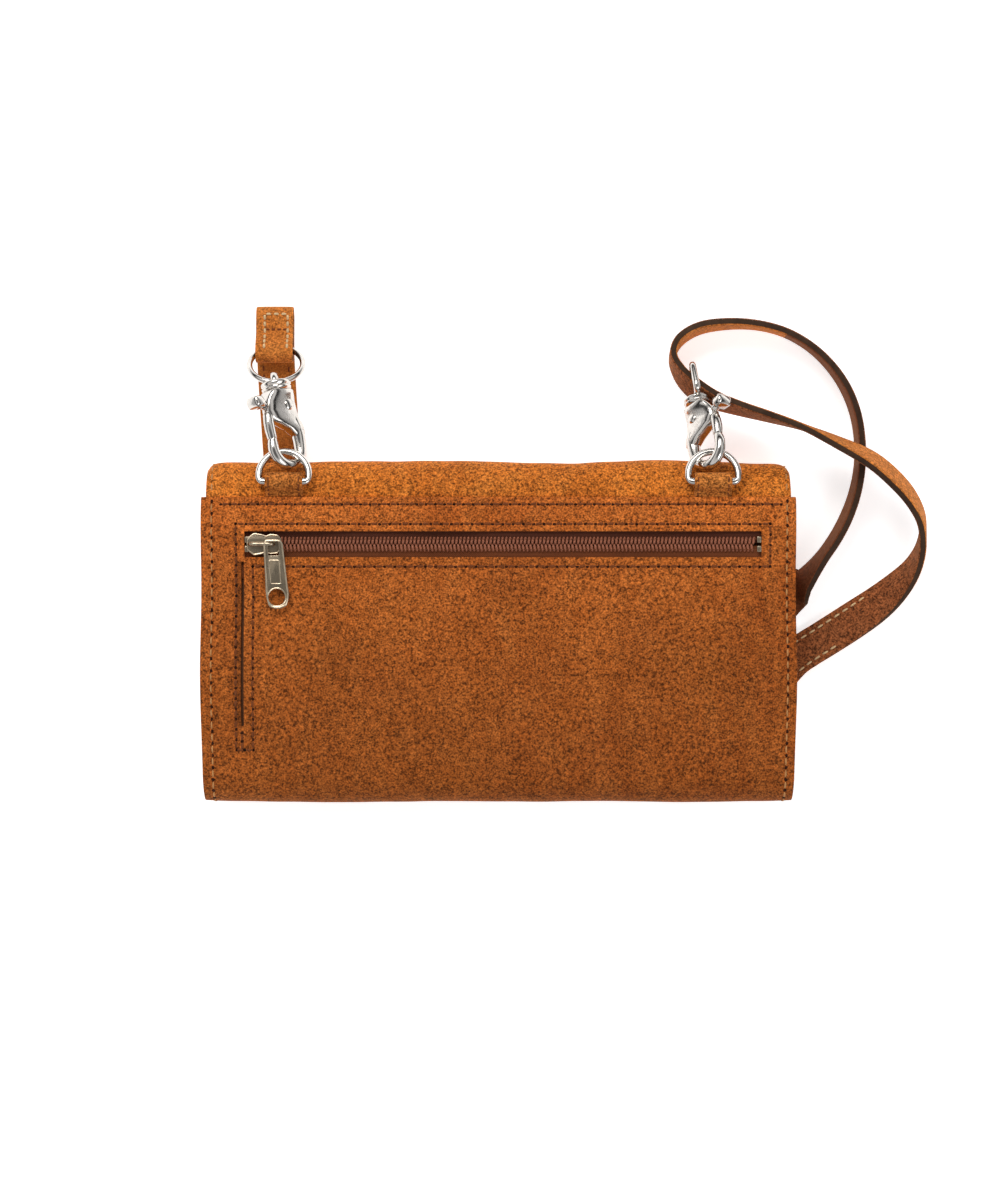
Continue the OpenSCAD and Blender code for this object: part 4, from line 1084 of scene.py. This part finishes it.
setPiece(platesAndParts("zipSlider", sliderPlates, sliderParts, [oldNickel]), "zip_slider_body", "old_metal",
         "zip_slider")

puller = dict(z=27.05, thickness=1.1, hole=(-73.75, 11.7), holeR=2.9)
pullOutline = roundedOutline([[-78.1, 31.0], [-77.4, 12.0], [-76.4, 8.6], [-74.6, 7.9], [-72.4, 7.9],
                              [-70.4, 8.8],
                              [-69.5, 12.0], [-72.1, 31.0]], [1.3, 1.5, 0.8, 0.6, 0.6, 0.8, 1.5, 1.3])
pullWindow = roundedOutline([[-76.8, 30.2], [-73.2, 30.2], [-73.0, 25.6], [-76.6, 25.6]], 0.6)
pullField = roundedOutline([[-76.4, 24.0], [-72.9, 24.0], [-72.4, 16.2], [-75.7, 16.2]], 0.5)
pullRim = pullOutline + unit(pullOutline.mean(0) - pullOutline) * 0.5
pullParts = []
# beads round the edge, the raised panel and the hole: line, bead's radius and height over the middle
for line, fat, high in ((pullRim, 0.36, 0.45), (pullField, 0.24, 0.5),
                        (circleOutline(*puller["hole"], puller["holeR"] + 0.15), 0.3, 0.45)):
    bead = np.column_stack([line, np.full(len(line), puller["z"] + high)])
    pullParts.append((tubePoints(bead, fat, (0, 0, 1), True, 8), True))
pullLines = [pullOutline, circleOutline(*puller["hole"], puller["holeR"]), pullWindow]
pullPlate = bevelPlate(pullLines, puller["z"], puller["thickness"], 0.18)
setPiece(platesAndParts("zipPuller", [pullPlate], pullParts, [oldNickel]), "zip_puller_body", "old_metal",
         "zip_puller")


def boxLoft(lo, hi, soft=0.25):
    # a small pressed block: rings of a rounded rectangle, drawn in at the top and bottom
    lo, hi = np.asarray(lo, float), np.asarray(hi, float)
    cut = np.array([soft, 0.25 * soft, 0, 0, 0.25 * soft, soft])
    level = np.array([0, 0.3 * soft, soft, hi[2] - lo[2] - soft, hi[2] - lo[2] - 0.3 * soft, hi[2] - lo[2]])
    rings = []
    for c, z in zip(cut, level):
        outline = roundedOutline([[lo[0] + c, lo[1] + c], [hi[0] - c, lo[1] + c], [hi[0] - c, hi[1] - c],
                                  [lo[0] + c, hi[1] - c]], soft)
        rings.append(np.column_stack([outline, np.full(len(outline), lo[2] + z)]))
    return np.stack(rings)


def metalPiece(name, parts, body, node, placeOf=None, material=nickel, slot="nickel"):
    # cast or bent metal: its parts joined into one mesh that stands for a node
    return setPiece(joinParts(name, parts, [material], placeOf), body, slot, node)


stopBoxes = [boxLoft([x, zipRun["y"] + y0, 23.1], [x + 1.5, zipRun["y"] + y0 + 2.1, 24.6])
             for x in (window[0] + 0.1, window[1] - 1.6) for y0 in (0.5, -2.6)]
metalPiece("zipStops", [(b, False) for b in stopBoxes], "wallet", "zip_stops", None, oldNickel, "old_metal")
print("zip made")


# Tabs and rings.

tab = dict(x=71.5, width=12.5, thickness=0.95, barY=50.2, barZ=26.7,
           turns=[[43.6, 23.1], [45.8, 23.7], [47.4, 25.4], [48.8, 27.8], [50.6, 28.75], [52.3, 28.1],
                  [52.7, 26.6],
                  [51.8, 25.1], [49.6, 23.9], [46.8, 22.6], [43.6, 22.1]])


def makeTab(name, node, x):
    # a strip of suede carried over the ring's bar and back under itself
    curve = smoothPath(tab["turns"], 5)
    centres = np.column_stack([np.full(len(curve), x), curve])
    ahead = unit(np.gradient(centres, axis=0))
    wide = np.tile([1.0, 0, 0], (len(centres), 1))
    out = -np.cross(wide, ahead)
    section, marks = barSection(tab["width"] / 2, tab["thickness"] / 2, 0.35, 0.05)
    piece = sweepPiece(name, centres, wide, out, section, [suedeTab, suedeTab, strapReverse], marks)
    setPiece(piece, "wallet", "suede", node)
    s = np.arange(4, 24)
    normal = out[s] * np.sign(out[s][:, 2:3].mean())
    rows = [(centres[s] + wide[s] * side * (tab["width"] / 2 - 1.2) + normal * (tab["thickness"] / 2 + 0.03),
             normal) for side in (-1, 1)]
    sew(name + "Stitches", rows, 2.4, 1.7, 0.22, threadDark)


makeTab("leftTab", "d_tab_left", -tab["x"])
makeTab("rightTab", "d_tab_right", tab["x"])

dRing = dict(half=8.3, wire=1.2, leg=2.4, slope=19.0, corner=1.5)


def leanBack(grid, degrees):
    # a grid turned about the X axis so that its far side goes down
    lean = math.radians(-degrees)
    y, z = grid[..., 1], grid[..., 2]
    return np.stack([grid[..., 0], y * math.cos(lean) - z * math.sin(lean),
                     y * math.sin(lean) + z * math.cos(lean)], axis=-1)


def makeDRing(name, node, x, body):
    # a bar, two legs and a half circle of wire, leaning down from the bar
    turn = np.linspace(0, math.pi, 33)
    bow = np.column_stack([dRing["half"] * np.cos(turn), dRing["leg"] + dRing["half"] * np.sin(turn)])
    c, h = dRing["corner"], dRing["half"]
    bend = np.linspace(math.pi, 1.5 * math.pi, 6)
    left = np.column_stack([-h + c + c * np.cos(bend), c + c * np.sin(bend)])
    right = np.column_stack([-left[::-1, 0], left[::-1, 1]])
    bar = np.column_stack([np.linspace(-h + c + 1, h - c - 1, 6), np.zeros(6)])
    path = np.vstack([bow, left, bar, right])
    path = np.column_stack([path, np.zeros(len(path))])
    grid = leanBack(tubePoints(path, dRing["wire"], (0, 0, 1), True, 16), dRing["slope"])
    metalPiece(name, [(grid + np.array([x, tab["barY"], tab["barZ"]]), True)], body, node)


makeDRing("leftDRing", "d_ring_left", -tab["x"], "d_ring_left_body")
makeDRing("rightDRing", "d_ring_right", tab["x"], "d_ring_right_body")

oRing = dict(centre=(-74.9, 90.15, 12.7), radius=9.0, wire=1.0, tilt=46.0)
turn = wholeTurn(72)
ringPath = np.column_stack([oRing["radius"] * np.cos(turn), oRing["radius"] * np.sin(turn), np.zeros(72)])
ringGrid = leanBack(tubePoints(ringPath, oRing["wire"], (0, 0, 1), True, 14), oRing["tilt"])
roundRing = metalPiece("roundRing", [(ringGrid + np.array(oRing["centre"]), True)], "o_ring_body", "o_ring")


# Snap hooks.

ringReach, ringLean = dRing["leg"] + dRing["half"], math.radians(dRing["slope"])
seatY = tab["barY"] + ringReach * math.cos(ringLean)
seatZ = tab["barZ"] - ringReach * math.sin(ringLean)
# left and right: the bowl's centre, then the turn on the table and the tilt in degrees
hooks = dict(left=((-70.6, seatY + 1.2, seatZ - 0.2), 10.6, -9.5),
             right=((69.9, seatY + 1.0, seatZ - 0.6), 9.4, -28.0),
             leftStretch=(1.18, 1.3, 1.2), rightStretch=(1.18, 1.1, 1.2), roll=45.0, bowl=5.0,
             pivot=(-1.8, 11.3))


def hookPlace(side, stretch=(1, 1, 1)):
    # the hook is stretched above its bowl, rolled round its length, tilted down, then turned on the table
    origin, turned, tilted = hooks["left" if side < 0 else "right"]
    a, b, c = math.radians(turned), math.radians(tilted), math.radians(-side * hooks["roll"])
    rz = np.array([[math.cos(a), -math.sin(a), 0], [math.sin(a), math.cos(a), 0], [0, 0, 1]])
    rx = np.array([[1, 0, 0], [0, math.cos(b), -math.sin(b)], [0, math.sin(b), math.cos(b)]])
    ry = np.array([[math.cos(c), 0, math.sin(c)], [0, 1, 0], [-math.sin(c), 0, math.cos(c)]])
    matrix = rz @ rx @ ry

    def placeOf(points):
        along = points[:, 1] * np.where(points[:, 1] > 0, stretch[1], stretch[0])
        points = np.column_stack([points[:, 0] * stretch[0] * side, along, points[:, 2] * stretch[2]])
        return points @ matrix.T + np.array(origin)
    return placeOf


def loftY(levels, sides=22, power=2.6):
    # rings along Y: each is a rounded square of its own centre, half width and half thickness
    levels = np.asarray(levels, float)
    turn = wholeTurn(sides)
    c, s = np.cos(turn), np.sin(turn)
    cx = np.sign(c) * np.abs(c) ** (2 / power)
    sz = np.sign(s) * np.abs(s) ** (2 / power)
    return np.stack([levels[:, 1:2] + levels[:, 2:3] * cx,
                     np.broadcast_to(levels[:, :1], (len(levels), sides)),
                     levels[:, 3:4] * sz], axis=-1)


def discZ(x, y, profile):
    # a turned disc standing at a place
    return lathePoints(profile, 28) + np.array([x, y, 0])


def turnY(profile):
    # a profile of radius and place turned round the Y axis
    grid = lathePoints(profile, 32)
    return np.stack([grid[..., 0], grid[..., 2], grid[..., 1]], axis=-1)


def castPlace(side):
    # where a side's casting goes, with its own stretch
    return hookPlace(side, hooks["leftStretch" if side < 0 else "rightStretch"])


def makeHook(side, name, node, extras, body):
    # a rod that swells round the bowl, a pressed casting up to the neck, a rivet and its spring
    bowl = hooks["bowl"]
    turn = np.linspace(0, -math.pi, 25)
    arc = np.column_stack([bowl * np.cos(turn), bowl * np.sin(turn), np.zeros(25)])
    tip = np.array([[4.75, 2.3, 0], [4.95, 1.2, 0]])
    root = np.array([[-5.1, 1.6, 0], [-5.1, 3.4, 0], [-4.7, 5.4, 0], [-3.8, 7.4, 0]])
    path = np.vstack([tip, arc, root])
    fat = np.concatenate([[1.2, 1.4], np.linspace(1.5, 1.75, 25), [1.8, 1.9, 2.0, 2.1]])
    path, fat = roundedEnds(path, fat)
    casting = loftY([[2.6, -5.1, 1.2, 1.0], [3.6, -4.9, 2.0, 1.7], [5.0, -4.0, 2.9, 1.95],
                     [6.3, -2.2, 4.4, 2.0],
                   [7.6, -0.4, 5.3, 2.05], [9.6, 0.3, 5.5, 2.1], [12.0, 0.3, 5.2, 2.2], [13.6, 0.1, 4.7, 2.8],
                   [14.8, 0, 4.2, 3.4], [15.4, 0, 3.4, 3.1]], 24, 4.0)
    neck = turnY([[0.4, 14.9], [2.9, 14.95], [3.7, 15.2], [4.1, 15.6], [4.2, 16.0], [3.75, 16.25],
                  [3.75, 16.4],
                  [4.2, 16.65], [4.2, 17.3], [3.8, 17.7], [2.2, 17.95], [1.5, 17.97]])
    parts = [(tubePoints(path, fat, (0, 0, 1), False, 16), False), (casting, False), (neck, False)]
    piece = metalPiece(name, parts, body, node, castPlace(side))
    rivet = [[0.02, 2.6], [0.9, 2.55], [1.5, 2.3], [1.7, 1.9], [1.7, 1.6]]
    heads = [(discZ(*hooks["pivot"], [[r, z * face] for r, z in rivet]), False) for face in (1, -1)]
    rivets = metalPiece(name + "Rivet", heads, body, extras[0], castPlace(side))
    coil = np.linspace(0, 5 * math.pi, 60)
    spring = np.column_stack([hooks["pivot"][0] + 1.35 * np.cos(coil),
                              hooks["pivot"][1] + 1.35 * np.sin(coil),
                              np.linspace(0.66, 0.94, 60)])
    spring, thin = roundedEnds(spring, 0.11, 2)
    springs = metalPiece(name + "Spring", [(tubePoints(spring, thin, (0, 0, 1), False, 6), False)], body,
                         extras[1], castPlace(side), oldNickel, "old_metal")
    return piece, rivets, springs


def makeTrigger(side, name, node, body):
    # the gate that closes the bowl, its lever to the pivot, and a thumb rest on a short arm
    gate, fat = roundedEnds([[4.9, 8.4, 0], [5.1, 6.6, 0], [5.05, 4.6, 0], [4.85, 2.9, 0]],
                            [1.5, 1.5, 1.5, 1.4])
    lever, broad = roundedEnds(smoothPath([[-1.2, 11.2, 0], [2.2, 10.8, 0], [4.6, 10.0, 0], [5.0, 8.2, 0]],
                                          4), 1.15)
    thumb, wide = roundedEnds(smoothPath([[4.2, 10.6, 0], [6.6, 11.6, 0], [8.4, 12.6, 0]], 4), 1.2)
    pad = loftY([[10.3, 8.3, 0.7, 1.3], [10.5, 8.3, 1.5, 2.2], [11.4, 8.5, 1.75, 2.5], [12.6, 8.7, 1.75, 2.4],
                 [13.3, 8.8, 1.4, 2.1], [13.5, 8.8, 0.7, 1.3]], power=5)
    parts = [(tubePoints(path, radii, (0, 0, 1), False, sides), False)
             for path, radii, sides in ((gate, fat, 14), (lever, broad, 12), (thumb, wide, 12))]
    return metalPiece(name, parts + [(pad, False)], body, node, castPlace(side))


def makeEye(side, name, node):
    # a stem through the neck and a loop of wire: round on the left, long and narrow on the right
    stem = turnY([[0.3, 14.2], [1.9, 14.3], [2.0, 14.9], [1.2, 15.1], [1.2, 18.4], [1.9, 18.7], [1.9, 19.1],
                  [0.6, 19.6]])
    angle = math.radians(hooks["roll"] - 90 if side < 0 else hooks["roll"])
    c, s = math.cos(angle), math.sin(angle)
    if side < 0:
        turn = wholeTurn(48)
        path = np.column_stack([3.1 * np.cos(turn), 22.4 + 3.1 * np.sin(turn), np.zeros(48)])
        grid = tubePoints(path, 1.15, (0, 0, 1), True, 14)
    else:
        half, low, high, bend = 8.15, 19.4, 29.1, 2.0
        corners = [(-half, low), (half, low), (half, high), (-half, high)]
        outline = roundedOutline([[a, b] for a, b in corners], bend, 8)
        path = np.column_stack([np.zeros(len(outline)), outline[:, 1], outline[:, 0]])
        grid = tubePoints(path, 1.15, (1, 0, 0), True, 14)
    grid = np.stack([grid[..., 0] * c + grid[..., 2] * s, grid[..., 1],
                     -grid[..., 0] * s + grid[..., 2] * c], axis=-1)
    return metalPiece(name, [(stem, False), (grid, True)], "wallet", node, hookPlace(side))


leftHook, rightHook = (makeHook(side, word + "Hook", "hook_" + word,
                                ("trigger_rivet_" + word, "trigger_spring_" + word), "hook_%s_body" % word)
                       for side, word in ((-1, "left"), (1, "right")))
leftTrigger = makeTrigger(-1, "leftTrigger", "trigger_left", "trigger_left_body")
rightTrigger = makeTrigger(1, "rightTrigger", "trigger_right", "trigger_right_body")
leftEye = makeEye(-1, "leftSwivelEye", "swivel_eye_left")
rightEye = makeEye(1, "rightSwivelEye", "swivel_eye_right")
print("hooks made")


# Snap.

# profiles of radius and height, turned about the stud's own axis
snap = dict(y=-11.35,
            stud=[[0.05, 4.72], [5.9, 4.72], [6.8, 4.6], [7.0, 4.3], [7.0, 3.95]],
            knob=[[0.05, 5.86], [1.6, 5.84], [2.2, 5.6], [2.3, 5.2], [2.3, 4.6]],
            socket=[[2.8, 6.0], [2.8, 5.1], [3.3, 4.9], [5.4, 4.92], [6.6, 5.0], [7.0, 5.3], [7.0, 6.9],
                    [0.05, 6.95]],
            washer=[[2.0, 7.05], [2.0, 7.4], [2.3, 7.5], [5.6, 7.5], [6.0, 7.3], [6.0, 7.05]])


def snapAt(points):
    # moves a snap part to its place on the flap and the front
    return points + np.array([0, snap["y"], 0])


for name, body, node, parts in (
        ("snapStud", "flap", "snap_stud", [(lathePoints(snap["stud"], 48), False),
                                           (lathePoints(snap["knob"], 32), False)]),
        ("snapSocket", "wallet", "snap_socket", [(lathePoints(snap["socket"], 48), False)]),
        ("snapWasher", "wallet", "snap_washer", [(lathePoints(snap["washer"], 40), True)])):
    metalPiece(name, parts, body, node, snapAt)


# Inside.

def innerLeaf(name, node, material, slot, seed, body="wallet", wave=0.05):
    # a flat leaf in its own node's place, with a slight wave and a turned hem along its open edge
    lo, hi = boxOf(node)
    xs, ys = gridLines([lo[0], hi[0]], [4.0]), gridLines([lo[1], hi[1] - 3, hi[1]], [4.0, 0.5])

    def pointOf(x, y):
        flat = np.stack([x, y, np.full_like(x, hi[2])], axis=-1)
        bulge = wave * softWaves(flat, 40, seed) - 0.06 * np.exp(-((y - hi[1] + 2) / 0.4) ** 2)
        return flat + np.array([0, 0, 1.0]) * bulge[..., None]
    piece = gridPiece(name, xs, ys, pointOf, [material], hi[2] - lo[2], bevel=0.12, flip=True)
    setPiece(piece, body, slot, node)


for k, (name, node) in enumerate((("backLining", "back_lining"), ("frontLining", "front_lining"),
                                  ("zipPocketBag", "zip_pocket_lining"),
                                  ("slipPocketBag", "slip_pocket_lining"))):
    innerLeaf(name, node, liningCloth, "lining_cloth", 30 + k)
innerLeaf("flapLining", "flap_lining", liningCloth, "lining_cloth", 40, "flap", 0.03)
for k, (name, node) in enumerate((("divider", "divider_panel"), ("lowCardPocket", "card_pocket_low"),
                                  ("middleCardPocket", "card_pocket_middle"),
                                  ("highCardPocket", "card_pocket_high"),
                                  ("coinPocketWall", "coin_pocket_wall"))):
    innerLeaf(name, node, innerSuede, "inner_leather", 50 + k, wave=0.02)

lo, hi = boxOf("spine_lining")
liningRadius = spine["radius"] - spine["thickness"] - 1.1


def spineLiningPoint(x, s):
    # a half circle inside the spine, s being its angle from the top
    return np.stack([x, spine["centreY"] + liningRadius * np.sin(s),
                     spine["centreZ"] + liningRadius * np.cos(s)], axis=-1)


spineLining = gridPiece("spineLining", gridLines([lo[0], hi[0]], [4.0]),
                        gridLines([0.12, math.pi - 0.14], [0.12]),
                        spineLiningPoint, [liningCloth], 0.6, bevel=0)
setPiece(spineLining, "wallet", "lining_cloth", "spine_lining")


def gussetPiece(name, node, side):
    # pleats: the wall steps in and out as a cosine from the front to the back
    lo, hi = boxOf(node)
    outer = lo[0] if side < 0 else hi[0]
    depth = (hi[0] - lo[0]) - 0.7

    def pointOf(y, z):
        part = (z - lo[2]) / (hi[2] - lo[2])
        fold = 0.5 - 0.5 * np.cos(part * 4 * math.pi)
        wave = 0.1 * softWaves(np.stack([z * 0, y, z], axis=-1), 25, 60)
        x = outer - side * (0.4 + (depth - 0.4) * fold * 0.92 + wave)
        return np.stack([x, y, z], axis=-1)
    piece = gridPiece(name, gridLines([lo[1], hi[1]], [1.6]), gridLines([lo[2] + 0.2, hi[2] - 0.2], [0.45]),
                      pointOf,
                      [innerSuede], 0.7, side=0, bevel=0.1)
    setPiece(piece, "wallet", "suede", node)


gussetPiece("leftGusset", "gusset_left", -1)
gussetPiece("rightGusset", "gusset_right", 1)

coinBox = boxOf("coin_zip_tape")
coinY, coinTape = (coinBox[0][1] + coinBox[1][1]) / 2, coinBox[1][2]
tapeCut = [(coinBox[0][0] - 1, coinBox[1][0] + 1, coinY - 0.45, coinY + 0.45)]
coinTapePiece = gridPiece("coinTape", gridLines([coinBox[0][0], coinBox[1][0]], [3.0]),
                          gridLines([coinBox[0][1], coinY - 0.45, coinY + 0.45, coinBox[1][1]],
                                    [1.5, 1.0, 1.5]),
                          flatPoint(coinTape, 0.02, 22), [tapePaintedShade], 0.4, tapeCut, bevel=0.08, flip=True)
setPiece(coinTapePiece, "wallet", "zip_tape", "coin_zip_tape")
coinCoilBox = boxOf("coin_zip_coil")
for side, name in ((1, "coinCoilUpper"), (-1, "coinCoilLower")):
    coilTeeth(name, "coin_zip_coil", side, coinY, coinTape + 0.32, coinCoilBox[0][0],
              coinCoilBox[1][0] - 1.2, zipRun["pitch"], 1.9, 0.34)
coinStops = [boxLoft([x, coinY + y0, coinTape], [x + 1.6, coinY + y0 + 1.4, coinTape + 0.8], 0.18)
             for x in (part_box("coin_zip_stops")[0][0] / mm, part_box("coin_zip_stops")[1][0] / mm - 1.6)
             for y0 in (0.6, -2.0)]
metalPiece("coinStops", [(b, False) for b in coinStops], "wallet", "coin_zip_stops", None, oldNickel,
           "old_metal")

sLo, sHi = boxOf("coin_zip_slider")
coinPlate = roundedOutline([[sLo[0], coinY - 2.6], [sHi[0], coinY - 2.2], [sHi[0], coinY + 2.2],
                            [sLo[0], coinY + 2.6]], 1.2)
coinBridgeZ = sHi[2] - 0.35
coinBar, coinFat = roundedEnds([[sLo[0] + 0.6, coinY - 1, coinBridgeZ],
                                [sHi[0] - 0.6, coinY - 1, coinBridgeZ]], 0.34)
coinPosts = [boxLoft([x, coinY - 1.4, coinTape + 1.2], [x + 0.8, coinY - 0.6, coinBridgeZ + 0.2], 0.15)
             for x in (sLo[0] + 0.2, sHi[0] - 1.0)]
coinPlates = [bevelPlate([coinPlate], coinTape + high, 0.5, 0.12) for high in (1.15, -0.75)]
coinParts = [(tubePoints(coinBar, coinFat, (0, 1, 0), False, 10), False)] + [(b, False) for b in coinPosts]
setPiece(platesAndParts("coinSlider", coinPlates, coinParts, [oldNickel]), "coin_slider_body", "old_metal",
         "coin_zip_slider")
pLo, pHi = boxOf("coin_zip_puller")
coinPull = roundedOutline([[pLo[0], pHi[1] - 0.6], [pLo[0], pLo[1]], [pHi[0], pLo[1]],
                           [pHi[0], pHi[1] - 0.6]], 1.0)
coinEye, eyeFat = roundedEnds([[pLo[0] + 0.5, coinY - 1, coinBridgeZ],
                               [pHi[0] - 0.5, coinY - 1, coinBridgeZ]], 0.7)
coinHole = circleOutline((pLo[0] + pHi[0]) / 2, pLo[1] + 3, 1.2, 20)
coinPullPiece = platesAndParts("coinPuller", [bevelPlate([coinPull, coinHole], coinBridgeZ, 0.7, 0.12)],
                               [(tubePoints(coinEye, eyeFat, (0, 1, 0), False, 10), False)], [oldNickel])
setPiece(coinPullPiece, "coin_puller_body", "old_metal", "coin_zip_puller")
print("inside made")


# Table.

def makeTable():
    # a plain pale square that is clear from below
    half = studio["tableSize"] / 2
    mesh = bpy.data.meshes.new("table")
    z = -studio["tableDrop"] * mm
    mesh.from_pydata([(-half, -half, z), (half, -half, z), (half, half, z), (-half, half, z)], [],
                     [(0, 1, 2, 3)])
    material = bpy.data.materials.new("tablePaper")
    material.use_nodes = True
    tree = material.node_tree
    principled = tree.nodes["Principled BSDF"]
    principled.inputs["Base Color"].default_value = (0.93, 0.93, 0.93, 1)
    principled.inputs["Roughness"].default_value = 0.9
    principled.inputs["Specular IOR Level"].default_value = 0.1
    principled.inputs["Emission Color"].default_value = (1, 1, 1, 1)
    principled.inputs["Emission Strength"].default_value = 0.6
    clear = tree.nodes.new("ShaderNodeBsdfTransparent")
    facing = tree.nodes.new("ShaderNodeNewGeometry")
    mixer = tree.nodes.new("ShaderNodeMixShader")
    tree.links.new(facing.outputs["Backfacing"], mixer.inputs[0])
    tree.links.new(principled.outputs[0], mixer.inputs[1])
    tree.links.new(clear.outputs[0], mixer.inputs[2])
    tree.links.new(mixer.outputs[0], tree.nodes["Material Output"].inputs[0])
    mesh.materials.append(material)
    table = bpy.data.objects.new("table", mesh)
    bpy.context.scene.collection.objects.link(table)


makeTable()
print("all pieces made")
